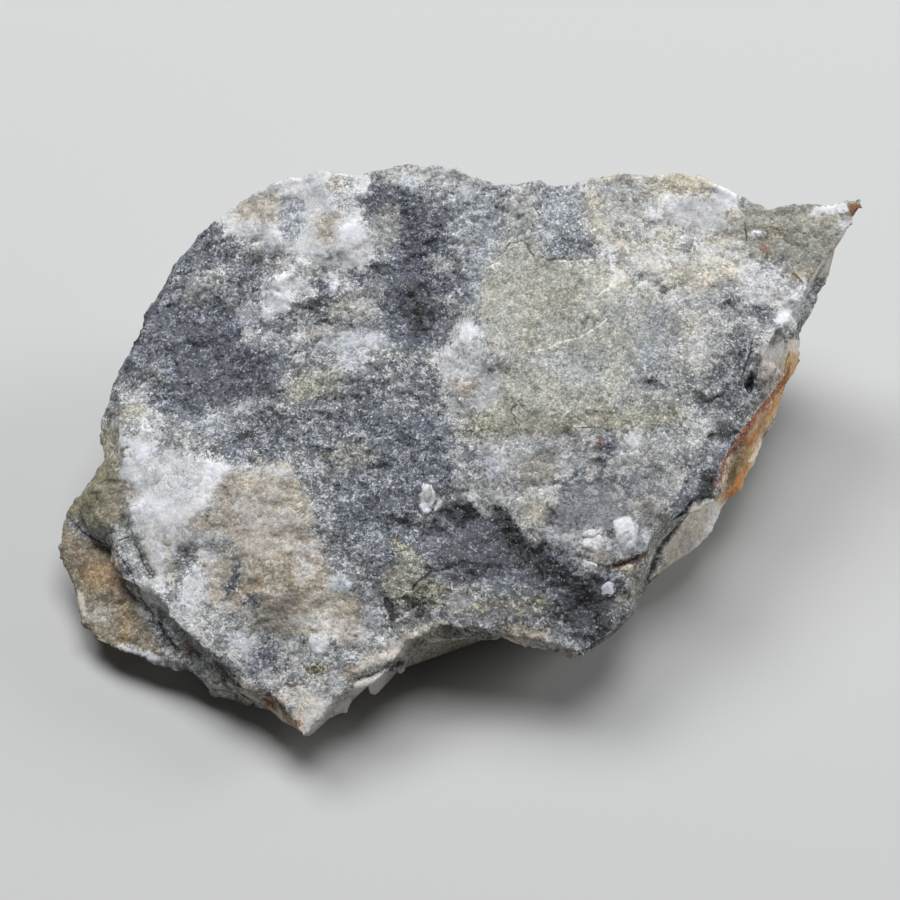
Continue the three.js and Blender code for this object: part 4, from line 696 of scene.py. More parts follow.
LINES = (
    ("seam crack", "black", [(5.6, 20.1, 0.05), (5.9, 20.6, 0.09), (6.6, 20.7, 0.07), (7.2, 20.9, 0.04)]),
    # A crack in the clay seam, widened at its lower end into the painted shadow there.
    ("seam crack and shadow, right", "shade", [(7.3, 21, 0.05), (7.9, 20.2, 0.08), (8.2, 19.6, 0.12), (8.4, 19.2,
     0.1)]),
    # A pale line along the raised clay seam: partly a light scratch, partly a painted highlight on its edge.
    ("seam edge highlight", "white", [(10.2, 18.8, 0.05), (11, 18.9, 0.1), (11.8, 18.8, 0.1), (12.4, 18.9,
     0.05)]),
    ("seam brown edge", "brown", [(8.8, 19.7, 0.06), (9.5, 19.2, 0.08), (10.2, 18.9, 0.05)]),
    ("scratch", "scratch", [(7.8, 9.8, 0.07), (9.5, 10, 0.1), (11, 10.7, 0.09), (13, 11.2, 0.12),
     (14.2, 12, 0.08), (15, 12.5, 0.11), (16.2, 13.5, 0.06)]),
    ("star tail", "scratch", [(14.8, 15.3, 0.06), (15.6, 16, 0.1), (16.2, 16.7, 0.12), (16.8, 17.3, 0.15)]),
    ("star", "white", [(16.1, 18.8, 0.08), (16.4, 18, 0.15), (16.9, 17.4, 0.22), (17.6, 17.6, 0.06)]),
    ("foot crack", "shade", [(6, 3.8, 0.07), (6.2, 4.3, 0.09), (6.8, 4.5, 0.08), (7.7, 4.3, 0.06)]),
    ("foot crack, down", "shade", [(6.1, 3.8, 0.06), (6.5, 3.4, 0.08), (6.4, 2.9, 0.05), (6.9, 2.5,
     0.09), (6.7, 1.9, 0.05), (7, 1.4, 0.07)]),
    ("foot line", "black", [(12.8, 2.2, 0.04), (14, 2.3, 0.1), (15, 2.3, 0.05)]),
    ("black vein", "black", [(-3.8, -14, 0.09), (-3.6, -13.5, 0.16), (-3, -13, 0.13), (-2.4, -12.5,
     0.2), (-1.8, -12.1, 0.09)]),
    ("black spot", "black", [(-0.4, -13.8, 0.14), (0.2, -14.2, 0.18)]),
    ("red crack", "brown", [(15.6, -11.6, 0.06), (17, -11.5, 0.1), (17.8, -11.1, 0.13), (18.6, -10.7,
     0.2), (19.4, -10.5, 0.28), (19.8, -10.2, 0.15)]),
    ("neck crack", "shade", [(24.2, -5.2, 0.07), (22.6, -7, 0.09), (21.4, -9.2, 0.09), (20.6, -10.6,
     0.12), (20, -12.2, 0.11), (19.4, -13.8, 0.08), (18.8, -15.6, 0.06)]),
    ("terrace crack", "black", [(-38.4, -6.4, 0.05), (-36.6, -8.3, 0.11), (-35.4, -9.1, 0.08), (-34,
     -9.5, 0.11), (-33.2, -10.3, 0.07), (-32.5, -11.4, 0.13), (-31.9, -12.4, 0.07), (-30.9, -14.8,
     0.08), (-30.3, -15.7, 0.1), (-29.4, -16.7, 0.05)]),
    ("terrace crack, arm", "black", [(-33.2, -9.1, 0.07), (-32.2, -8.7, 0.11)]),
    ("inner crack", "black", [(-31.8, -9.2, 0.06), (-31.2, -9.8, 0.1), (-30.8, -11, 0.09), (-30.3, -12,
     0.11), (-29.7, -12.7, 0.07)]),
    ("low crack", "black", [(-29, -17.2, 0.16), (-28.7, -18.2, 0.2), (-28, -19, 0.14), (-27.2, -20, 0.2)]),
    ("under the terrace", "black", [(-36.4, -18.6, 0.08), (-35.4, -19.2, 0.16), (-34.2, -19.3, 0.13)]),
    ("rim olive line", "olive", [(34, 10, 0.06), (33.6, 8.8, 0.12), (33.4, 7.6, 0.08)]),
    ("rim rust", "rust", [(34.1, 8.8, 0.09), (33.6, 7.2, 0.22), (32.7, 5.9, 0.3), (31.7, 4.8, 0.28),
     (30.7, 3.6, 0.22), (29.9, 2.5, 0.26), (29, 1.2, 0.3), (28.2, 0, 0.3), (27.7, -0.7, 0.16)]),
    ("rim orange edge", "orange", [(34.3, 6.6, 0.06), (33.3, 5.3, 0.14), (32.3, 4.2, 0.12), (31.4, 3,
     0.1), (30.6, 1.8, 0.14), (29.8, 0.4, 0.16)]),
    ("rim red line", "rust", [(27.7, -0.6, 0.14), (27.2, -1.8, 0.22), (27, -3, 0.18), (27, -4.2, 0.09)]),
    ("rim orange", "orange", [(29.7, -1.6, 0.14), (29.1, -2.8, 0.32), (28.5, -3.9, 0.38), (27.8, -4.9,
     0.32), (27.4, -5.7, 0.12)]),
    ("tip blot", "brown", [(34.2, 17.7, 0.08), (34.8, 17.2, 0.18), (35.3, 16.6, 0.09)]),
    ("tip red line", "brown", [(29.5, 22.8, 0.05), (29.6, 21.8, 0.1), (29.7, 20.9, 0.06)]),
    ("front crack", "black", [(-9.3, -23, 0.06), (-8.6, -22.7, 0.11), (-7.8, -22.5, 0.1), (-7, -21.9,
     0.06)]),
    ("front brown", "brown", [(-21.4, -23.4, 0.14), (-20.8, -23.6, 0.18)]),
    ("front brown 2", "brown", [(-24.7, -21.4, 0.14), (-24.2, -21.8, 0.1)]),
    ("front rust", "rust", [(-18.8, -24.8, 0.1), (-18, -25.4, 0.22), (-17.6, -25.8, 0.12)]),
    ("front rust 2", "rust", [(-16.2, -27.9, 0.12), (-15.4, -27.7, 0.14), (-14.9, -27.6, 0.06)]),
    ("front dark specks", "shade", [(-16.6, -23.3, 0.16), (-15.8, -23.6, 0.22), (-15.1, -23.4, 0.12)]),
    ("dark dash", "black", [(-20.8, 2, 0.12), (-20, 1.6, 0.22), (-19.6, 0.9, 0.14)]),
    ("dark dash 2", "black", [(-12.8, 0.1, 0.09), (-12, 0, 0.18), (-11.1, 0.1, 0.1)]),
    ("grey crack in tan", "shade", [(-21.3, -11.8, 0.12), (-21.4, -12.7, 0.2), (-21.8, -13.6, 0.24),
     (-22.4, -14.6, 0.14)]),
    ("tan dark spot", "shade", [(-26.6, -10, 0.16), (-26.2, -10.6, 0.26)]),
    ("low dark vein", "shade", [(-23.8, -21, 0.15), (-22.6, -21.8, 0.24), (-21.4, -22.2, 0.14)]),
    ("black belt", "jet", [(4.4, -5.7, 0.25), (5.3, -6.5, 0.55), (6.1, -7.9, 0.75), (7.1, -9.5, 0.75),
     (8.3, -10.7, 0.55), (10, -11.4, 0.6), (11.7, -12.5, 0.65), (13.6, -13.8, 0.4)]),
    ("black end", "jet", [(12.6, -14.8, 0.2), (14.2, -15.6, 0.6), (15.6, -16.8, 0.65), (15.6, -18.4,
     0.6), (14.4, -19.6, 0.3)]),
    ("black crest", "jet", [(-0.6, -6, 0.14), (0.7, -5.6, 0.26), (2, -5.9, 0.3), (3, -6.5, 0.15)]),
    ("black drop", "jet", [(-6.5, -14.8, 0.25), (-5.9, -15.8, 0.65), (-5.5, -17, 0.5)]),
    ("black hook", "jet", [(-4.8, -14.7, 0.2), (-3.8, -15.3, 0.55), (-2.9, -15.9, 0.6), (-3.3, -16.8,
     0.3)]),
    ("column black", "jet", [(-4.6, 16.8, 0.14), (-3.8, 15.4, 0.4), (-3.1, 14, 0.5), (-3, 12.6, 0.45),
     (-2.4, 11.4, 0.2)]),
    ("column black, left", "jet", [(-8.6, 18.4, 0.16), (-7.6, 18.2, 0.3), (-6.6, 17.4, 0.16)]),
    ("mottle black", "jet", [(-14.4, 14.1, 0.14), (-13.3, 14.6, 0.3), (-12, 14.4, 0.14)]),
    ("mottle black 2", "jet", [(-13.6, 12.6, 0.16), (-12.6, 12.9, 0.3), (-11.8, 12.6, 0.14)]),
    ("middle black", "jet", [(-21.8, 0.8, 0.15), (-20.6, 1.4, 0.34), (-19.3, 1.9, 0.18)]),
    ("right black", "jet", [(30.3, 11.2, 0.06), (30, 9.8, 0.15), (29.4, 8.2, 0.14), (29.1, 7, 0.06)]),
    ("right black, low", "jet", [(25, 4.6, 0.08), (26.3, 5, 0.18), (27.6, 5.9, 0.1)]),
    ("steep black", "jet", [(26.2, -2.6, 0.2), (25.8, -3.8, 0.5), (25.1, -4.8, 0.3)]),
    ("steep black, top", "jet", [(25.8, 1.3, 0.15), (27.2, 1.6, 0.3), (28.8, 1.9, 0.15)]),
    ("rim cream", "cream", [(34.8, 6.6, 0.2), (33.8, 4.8, 0.44), (32.8, 3.2, 0.54), (31.8, 1.6, 0.5),
     (30.8, -0.2, 0.34), (30, -1.2, 0.15)]),
    ("rim olive", "olive", [(28.9, -0.6, 0.16), (28.4, -2, 0.32), (28.1, -3.5, 0.26)]),
)

# Single quartz grains: name, kind, place in mm across and up the face, half length, half width and half
# height in mm, turn in radians, and how far the middle stands out, as a share of the half height.
GRAINS = (
    ("grain, upper left", "quartz", (14.1, -8.5), (0.9, 0.6, 0.26), 0.09, -0.1),
    ("grain, middle left", "quartz", (14.4, -9.9), (1, 0.7, 0.3), -0.17, -0.15),
    ("grain, tall", "quartz", (17.4, -9), (1.5, 0.85, 0.26), 1.43, -0.2),
    ("grain, glassy", "milky", (15.9, -9.6), (0.7, 0.45, 0.2), 1.22, -0.1),
    ("grain, low left", "quartz", (14, -11.5), (0.7, 0.5, 0.2), 0.17, -0.1),
    ("grain, lone", "milky", (15.9, -13.8), (0.95, 0.8, 0.22), 0.52, -0.2),
    ("finger", "rim pale", (17.9, -11.8), (0.5, 0.26, 0.18), 1.05, 0),
    ("finger 2", "rim pale", (18.6, -11.6), (0.45, 0.22, 0.16), 1.05, 0),
    ("grain, edge", "milky", (19.6, -9.4), (0.9, 0.6, 0.22), 1.05, -0.2),
    ("grain, right", "quartz", (18.4, 0.4), (0.6, 0.9, 0.16), 0, -0.25),
    ("flake", "quartz", (-2.2, -4.8), (1.3, 0.6, 0.22), 1.36, 0),
    ("flake lobe", "quartz", (-1.3, -5.8), (0.8, 0.32, 0.18), 1.01, 0),
    ("knob, tip", "bright", (30.7, 21.6), (0.5, 0.35, 0.18), 0.09, -0.1),
)

# Masses inside the stone, which show on the sides and the back: kind, size of the lumps, seed, and
# where in the noise they start and are full.
DEEP_MASSES = (
    ("mixed ore", 9, 601, 0, 0.25),
    ("quartz", 11, 621, 0.05, 0.3),
    ("ore", 8, 641, 0.2, 0.4),
    ("tan", 7, 661, 0.2, 0.45),
    ("milky", 6, 681, 0.3, 0.5),
    ("crust", 8, 701, 0.3, 0.5),
    ("bright", 4, 721, 0.35, 0.5),
    ("dense ore", 4, 741, 0.4, 0.55),
)

# Stains and crusts on the sole, in the same form.
SOLE_MASSES = (
    ("olive clay", 9, 801, -0.1, 0.3),
    ("crust", 7, 821, 0.1, 0.35),
    ("quartz", 6, 841, 0.25, 0.45),
    ("orange", 5, 861, 0.35, 0.6),
)


# ---------------------------------------------------------------- settings

class OreLumpSettings(bpy.types.PropertyGroup):
    """Sizes of the stone's skin."""

    voxel: FloatProperty(name="Skin step", description="Size of one cell of the fine skin, in mm",
                         default=0.25, min=0.15, max=1.0)
    triangles: IntProperty(name="Triangles", description="Most triangles that the skin keeps",
                           default=190000, min=20000, max=198000)
    coarse_break: FloatProperty(name="Coarse break", description="Width of the large broken facets, in mm",
                                default=3.4, min=1.0, max=10.0)
    middle_break: FloatProperty(name="Middle break", description="Width of the middle broken facets, in mm",
                                default=1.6, min=0.5, max=5.0)
    fine_break: FloatProperty(name="Fine break", description="Width of the smallest broken facets, in mm",
                              default=0.8, min=0.3, max=3.0)
    relief: FloatProperty(name="Relief", description="Height of the broken relief, in mm",
                          default=0.34, min=0.0, max=2.0)


class StageSettings(bpy.types.PropertyGroup):
    """The floor and the light."""

    floor_size: FloatProperty(name="Floor size", description="Width of the floor", default=1.6,
                              min=0.3, max=5.0, unit="LENGTH")
    floor_colour: FloatVectorProperty(name="Floor colour", description="Colour of the floor",
                                      subtype="COLOR", size=3, default=(0.5, 0.5, 0.49), min=0, max=1)
    key_power: FloatProperty(name="Key light", description="Power of the broad light, in watts",
                             default=2.9, min=0.0, max=100.0)
    top_power: FloatProperty(name="Top light", description="Power of the wide light overhead, in watts",
                             default=3.5, min=0.0, max=100.0)
    fill_power: FloatProperty(name="Fill light", description="Power of the light on the right, in watts",
                              default=1.55, min=0.0, max=100.0)
    sky: FloatProperty(name="Sky", description="Strength of the even light from all round",
                       default=0.045, min=0.0, max=5.0)


# ---------------------------------------------------------------- noise

def chance(i, j, k, seed):
    """A fixed random number from 0 to 1 for each lattice point."""
    mixed = (i * 73856093) ^ (j * 19349663) ^ (k * 83492791) ^ (seed * 2654435761)
    h = (mixed & 0xFFFFFFFF).astype(np.uint32)
    h ^= h >> np.uint32(16)
    h *= np.uint32(0x7FEB352D)
    h ^= h >> np.uint32(15)
    h *= np.uint32(0x846CA68B)
    h ^= h >> np.uint32(16)
    return h.astype(np.float32) / np.float32(4294967296.0)


def haze(points, size, seed):
    """Smooth noise from -1 to 1, with lumps of the given size."""
    q = points / size
    cell = np.floor(q).astype(np.int64)
    f = (q - cell).astype(np.float32)
    f = f * f * f * (f * (f * 6 - 15) + 10)
    out = np.zeros(len(points), np.float32)
    for dx in (0, 1):
        wx = f[:, 0] if dx else 1 - f[:, 0]
        for dy in (0, 1):
            wy = f[:, 1] if dy else 1 - f[:, 1]
            for dz in (0, 1):
                wz = f[:, 2] if dz else 1 - f[:, 2]
                out += wx * wy * wz * chance(cell[:, 0] + dx, cell[:, 1] + dy, cell[:, 2] + dz, seed)
    return out * 2 - 1


def cloud(points, size, seed, octaves=3):
    """Haze with finer and fainter haze on it."""
    out = np.zeros(len(points), np.float32)
    share, total = 1.0, 0.0
    for n in range(octaves):
        out += share * haze(points, size, seed + 17 * n)
        total += share
        size, share = size * 0.5, share * 0.55
    return out / total


def breaks(points, size, seed, sharpness=26.0):
    """Relief of small tilted planes, one for each cell, about -1 to 1."""
    q = (points / size).astype(np.float32)
    cell = np.floor(q).astype(np.int64)
    top = np.zeros(len(points), np.float32)
    total = np.full(len(points), 1e-9, np.float32)
    for dx in (-1, 0, 1):
        for dy in (-1, 0, 1):
            for dz in (-1, 0, 1):
                i, j, k = cell[:, 0] + dx, cell[:, 1] + dy, cell[:, 2] + dz
                away = np.stack([q[:, 0] - i - 0.1 - 0.8 * chance(i, j, k, seed),
                                 q[:, 1] - j - 0.1 - 0.8 * chance(i, j, k, seed + 1),
                                 q[:, 2] - k - 0.1 - 0.8 * chance(i, j, k, seed + 2)], 1)
                weight = np.exp(-sharpness * (away * away).sum(1))
                slope = np.stack([chance(i, j, k, seed + 3), chance(i, j, k, seed + 4),
                                  chance(i, j, k, seed + 5)], 1) - 0.5
                height = (slope * away).sum(1) * 2.2 + chance(i, j, k, seed + 6) - 0.5
                top += weight * height
                total += weight
    return top / total


def chips(points, size, seed):
    """Noise from -1 to 1 that is level over each angular chip of the given size."""
    q = (points / size).astype(np.float32)
    cell = np.floor(q).astype(np.int64)
    nearest = np.full(len(points), 1e9, np.float32)
    out = np.zeros(len(points), np.float32)
    for dx in (-1, 0, 1):
        for dy in (-1, 0, 1):
            for dz in (-1, 0, 1):
                i, j, k = cell[:, 0] + dx, cell[:, 1] + dy, cell[:, 2] + dz
                away = ((q[:, 0] - i - chance(i, j, k, seed)) ** 2
                        + (q[:, 1] - j - chance(i, j, k, seed + 1)) ** 2
                        + (q[:, 2] - k - chance(i, j, k, seed + 2)) ** 2)
                closer = away < nearest
                nearest[closer] = away[closer]
                out[closer] = chance(i, j, k, seed + 3)[closer]
    return out * 2 - 1


# ---------------------------------------------------------------- the masses of mineral

def from_path(a, b, path):
    """How far each point is from a path of straight stretches."""
    best = np.full(a.shape, 1e9)
    for (x0, y0), (x1, y1) in zip(path[:-1], path[1:]):
        ex, ey = x1 - x0, y1 - y0
        t = np.clip(((a - x0) * ex + (b - y0) * ey) / (ex * ex + ey * ey), 0, 1)
        best = np.minimum(best, np.hypot(a - x0 - t * ex, b - y0 - t * ey))
    return best


def in_outline(a, b, corners):
    """How far inside a closed outline each point is."""
    corners = np.asarray(corners, float)
    inside = np.zeros(a.shape, bool)
    for (x0, y0), (x1, y1) in zip(corners, np.roll(corners, -1, 0)):
        inside ^= ((y0 > b) != (y1 > b)) & (a < (x1 - x0) * (b - y0) / ((y1 - y0) or 1e-9) + x0)
    away = from_path(a, b, np.vstack([corners, corners[:1]]))
    return np.where(inside, away, -away)


def in_oval(a, b, x, y, half_length, half_width, turn):
    """How far inside an oval each point is."""
    t = math.radians(turn)
    u = (a - x) * math.cos(t) + (b - y) * math.sin(t)
    v = (b - y) * math.cos(t) - (a - x) * math.sin(t)
    return (1 - np.hypot(u / half_length, v / half_width)) * min(half_length, half_width)


def in_vein(a, b, half_width, path):
    """How far inside a vein along a path each point is."""
    return half_width - from_path(a, b, path)


def inside_of(a, b, form):
    """How far inside a mass each point is."""
    if isinstance(form, list):
        return in_outline(a, b, form)
    return in_oval(a, b, *form) if len(form) == OVAL_SIZES else in_vein(a, b, *form)


def reach(form):
    """The box around a mass: its lowest and highest a and b."""
    if isinstance(form, list):
        grow, path = 0, form
    elif len(form) == OVAL_SIZES:
        grow, path = max(form[2:4]), [form[:2]]
    else:
        grow, path = form
    path = np.asarray(path, float)
    return (*(path.min(0) - grow), *(path.max(0) + grow))


def face_place(points):
    """Where each point lies as the broad face is laid out: mm across and mm up, from straight ahead."""
    from_eye = points - EYE
    depth = from_eye @ LOOK
    return from_eye[:, 0] / depth * EYE_RANGE, from_eye @ UP / depth * EYE_RANGE


def linear(colour):
    """A colour in steps up to 255, as the material takes it."""
    c = np.array(colour) / 255
    return np.where(c <= 0.04045, c / 12.92, ((c + 0.055) / 1.055) ** 2.4)


def mineral(kind):
    """What one kind of mineral sets: its light and dark grains share out its mean colour."""
    colour, share, contrast, *finish = KINDS[kind]
    mean = linear(colour)
    tint = np.array(TINTS.get(kind, (1, 1, 1)))
    if share < 0.5:
        light = mean * (1 + contrast) * tint
        dark = (mean - share * light) / (1 - share)
    else:
        dark = mean * (1 - contrast) * tint
        light = (mean - (1 - share) * dark) / share
    return dict(zip(FIELDS, (light, dark, share, *finish)))


MINERALS = {kind: mineral(kind) for kind in KINDS}


def lay(fields, weight, kind):
    """Mixes grains of one kind of mineral into what is there, by weight."""
    new = MINERALS[kind]
    share = fields["share"] + (new["share"] - fields["share"]) * weight
    part = {"light": (weight * new["share"] / share)[:, None],
            "dark": (weight * (1 - new["share"]) / (1 - share))[:, None]}
    for name, value in new.items():
        fields[name] += (value - fields[name]) * part.get(name, weight)


def lay_masses(fields, points, a, b):
    """Lays every mass of the table over the fields, in order, with ragged edges."""
    share, size, seed = RAGGED_LUMPS
    ragged = share * cloud(points, size, seed)
    for share, size, seed in RAGGED_CHIPS:
        ragged = ragged + share * chips(points, size, seed)
    for name, kind, form, soft, strength, rag in MASSES:
        margin = soft + RAGGED_MOST * rag
        x0, y0, x1, y1 = reach(form)
        near = np.nonzero((a > x0 - margin) & (a < x1 + margin) & (b > y0 - margin) & (b < y1 + margin))[0]
        if not len(near):
            continue
        inside = inside_of(a[near], b[near], form)
        w = np.clip((inside + rag * ragged[near]) / soft * 0.5 + 0.5, 0, 1)
        w = w * w * (3 - 2 * w) * strength
        part = {key: value[near] for key, value in fields.items()}
        lay(part, w, kind)
        if name in RISES:
            part["rise"] = part["rise"] + RISES[name] * w
        for key, value in part.items():
            fields[key][near] = value


def lay_lines(points, a, b):
    """Cracks, scratches and thin seams: signed distance from the nearest one, its half width, its colour."""
    a = a + LINE_WANDER * haze(points, LINE_WANDER_SIZE, LINE_SEEDS[0])
    b = b + LINE_WANDER * haze(points, LINE_WANDER_SIZE, LINE_SEEDS[1])
    side = np.full(len(points), LINE_REACH)
    width = np.zeros(len(points))
    ink = np.zeros((len(points), 3))
    for _, colour, path in LINES:
        corners = np.asarray(path, float)
        x0, y0 = corners[:, :2].min(0) - LINE_REACH
        x1, y1 = corners[:, :2].max(0) + LINE_REACH
        near = np.nonzero((a > x0) & (a < x1) & (b > y0) & (b < y1))[0]
        last = len(corners) - 2
        for n, ((ax, ay, aw), (bx, by, bw)) in enumerate(zip(corners[:-1], corners[1:])):
            ex, ey = bx - ax, by - ay
            px, py = a[near] - ax, b[near] - ay
            along = (px * ex + py * ey) / (ex * ex + ey * ey)
            t = np.clip(along, 0, 1)
            away = np.hypot(px - t * ex, py - t * ey)
            closer = away < np.abs(side[near])
            at = near[closer]
            side[at] = np.where(ex * py - ey * px > 0, away, -away)[closer]
            ended = ((along < 0) & (n == 0)) | ((along > 1) & (n == last))
            width[at] = np.where(ended, 0, aw + (bw - aw) * t)[closer]
            ink[at] = linear(INKS[colour])
    return {"side": side, "width": width, "ink": ink}


def smooth_step(x, low, high):
    """Rises from 0 at low to 1 at high, levelling out at both."""
    t = np.clip((x - low) / (high - low), 0, 1)
    return t * t * (3 - 2 * t)


def face_height(points):
    """Height of the middle plane of the broad face under or over each point."""
    x, y = points[:, 0] - EYE_TARGET.x, points[:, 1] - EYE_TARGET.y
    return FACE_MIDDLE + FACE_TILT * y + FACE_ROLL * x - FACE_CROWN * x * x


def new_fields(count, kind):
    """Fields that are all one kind of mineral."""
    return {name: np.tile(np.array(value, float), (count, 1) if name in ("light", "dark") else count)
            for name, value in MINERALS[kind].items()}


def mineral_fields(points, normals):
    """Colour, speckle, gloss and relief of the stone at each point of its skin."""
    towards = EYE - points
    towards /= np.linalg.norm(towards, axis=1)[:, None]
    seen = smooth_step((normals * towards).sum(1), *SEEN)
    front = new_fields(len(points), "host")
    a, b = face_place(points)
    lay_masses(front, points, a, b)
    lines = lay_lines(points, a, b)
    lines["width"] *= seen
    hidden = np.nonzero(seen < 0.999)[0]
    deep = points[hidden]
    wander = np.stack([cloud(deep, WANDER_SIZE, WANDER_SEED + n) for n in range(3)], 1)
    above = deep + WANDER_ACROSS * wander
    above[:, 2] = face_height(above)
    back = new_fields(len(hidden), "host")
    lay_masses(back, deep, *face_place(above))
    depth = face_height(deep) - deep[:, 2] + WANDER_DOWN * wander[:, 0]
    buried = smooth_step(depth, *BURIED)
    core = new_fields(len(hidden), "host")
    flat = deep * INNER_STRETCH
    for kind, size, seed, low, high in DEEP_MASSES:
        lay(core, smooth_step(cloud(flat, size, seed, 4), low, high), kind)
    under = smooth_step(-normals[hidden, 2], *SOLE_FACING)
    for kind, size, seed, low, high in SOLE_MASSES:
        lay(core, under * smooth_step(cloud(deep, size, seed, 4), low, high), kind)
    for key in front:
        shape = (-1, 1) if front[key].ndim == 2 else (-1,)
        hid = back[key] + (core[key] - back[key]) * buried.reshape(shape)
        front[key][hidden] = hid + (front[key][hidden] - hid) * seen[hidden].reshape(shape)
    front.update(lines)
    return front


# ---------------------------------------------------------------- mesh helpers

def mesh_arrays(mesh):
    """The mesh's points and edges as arrays."""
    count = len(mesh.vertices)
    co = np.empty(count * 3, np.float32)
    mesh.vertices.foreach_get("co", co)
    edges = np.empty(len(mesh.edges) * 2, np.int32)
    mesh.edges.foreach_get("vertices", edges)
    return co.reshape(-1, 3).astype(float), edges.reshape(-1, 2)


def set_places(mesh, co):
    """Moves the mesh's points to these places."""
    mesh.vertices.foreach_set("co", co.astype(np.float32).ravel())
    mesh.update()


def vertex_normals(mesh):
    """Which way the skin faces at each point."""
    out = np.empty(len(mesh.vertices) * 3, np.float32)
    mesh.vertex_normals.foreach_get("vector", out)
    return out.reshape(-1, 3).astype(float)


def neighbour_sum(values, edges):
    """The sum of the values at each point's neighbours."""
    count = len(values)
    return (np.bincount(edges[:, 0], values[edges[:, 1]], count)
            + np.bincount(edges[:, 1], values[edges[:, 0]], count))


def settle(co, edges, rounds, pull=0.55, push=-0.57):
    """Smooths places along the edges without shrinking the stone."""
    degree = np.bincount(edges.ravel(), minlength=len(co))[:, None]
    for _ in range(rounds):
        for step in (pull, push):
            mean = np.stack([neighbour_sum(co[:, axis], edges) for axis in range(3)], 1) / degree
            co = co + step * (mean - co)
    return co


def evened(values, edges, rounds):
    """Values at the points of a mesh, evened out along its edges."""
    degree = np.bincount(edges.ravel(), minlength=len(values))
    for _ in range(rounds):
        values = (values + neighbour_sum(values, edges)) / (1 + degree)
    return values


def put_attribute(mesh, name, values):
    """Stores a colour or a number at each point of the mesh."""
    if values.ndim == 2:
        layer = mesh.attributes.new(name, "FLOAT_COLOR", "POINT")
        packed = np.ones((len(values), 4), np.float32)
        packed[:, :3] = values
        layer.data.foreach_set("color", packed.ravel())
    else:
        layer = mesh.attributes.new(name, "FLOAT", "POINT")
        layer.data.foreach_set("value", values.astype(np.float32))


def applied(obj):
    """The object's mesh with its modifiers applied, as a new mesh."""
    graph = bpy.context.evaluated_depsgraph_get()
    graph.update()
    return bpy.data.meshes.new_from_object(obj.evaluated_get(graph))


def swap_mesh(obj, mesh):
    """Gives the object a new mesh, without its modifiers."""
    old = obj.data
    obj.modifiers.clear()
    obj.data = mesh
    bpy.data.meshes.remove(old)


# ---------------------------------------------------------------- shader groups and materials

def node_of(tree, kind, **values):
    """A new node with these settings."""
    node = tree.nodes.new(kind)
    for name, value in values.items():
        setattr(node, name, value)
    return node


def sum_of(tree, operation, first, second=None, third=None):
    """A Math node on sockets or plain numbers; returns its output."""
    node = node_of(tree, "ShaderNodeMath", operation=operation)
    for socket, value in zip(node.inputs, (first, second, third)):
        if value is None:
            continue
        if isinstance(value, (int, float)):
            socket.default_value = value
        else:
            tree.links.new(value, socket)
    return node.outputs[0]


def held(tree, value, low, high):
    """A value kept between two limits."""
    return sum_of(tree, "MINIMUM", sum_of(tree, "MAXIMUM", value, low), high)


def vector_of(tree, operation, first, second=None, scale=None):
    """A Vector Math node on sockets or plain vectors; returns its output."""
    node = node_of(tree, "ShaderNodeVectorMath", operation=operation)
    for socket, value in zip(node.inputs, (first, second)):
        if value is None:
            continue
        if isinstance(value, tuple):
            socket.default_value = value
        else:
            tree.links.new(value, socket)
    if scale is not None:
        if isinstance(scale, (int, float)):
            node.inputs["Scale"].default_value = scale
        else:
            tree.links.new(scale, node.inputs["Scale"])
    return node.outputs[0]


def mix_of(tree, factor, first, second):
    """A colour Mix node on sockets or plain colours; returns its output."""
    node = node_of(tree, "ShaderNodeMix", data_type="RGBA", blend_type="MIX")
    for socket, value in ((node.inputs["Factor"], factor), (node.inputs[6], first), (node.inputs[7], second)):
        if isinstance(value, (int, float, tuple)):
            socket.default_value = value
        else:
            tree.links.new(value, socket)
    return node.outputs[2]


def new_group(name, inputs, outputs):
    """A shader node group with named sockets; returns it with its input and output nodes."""
    group = bpy.data.node_groups.new(name, "ShaderNodeTree")
    for label, kind, value in inputs:
        socket = group.interface.new_socket(label, in_out="INPUT", socket_type=kind)
        if value is not None:
            socket.default_value = value
    for label, kind in outputs:
        group.interface.new_socket(label, in_out="OUTPUT", socket_type=kind)
    return group, node_of(group, "NodeGroupInput"), node_of(group, "NodeGroupOutput")


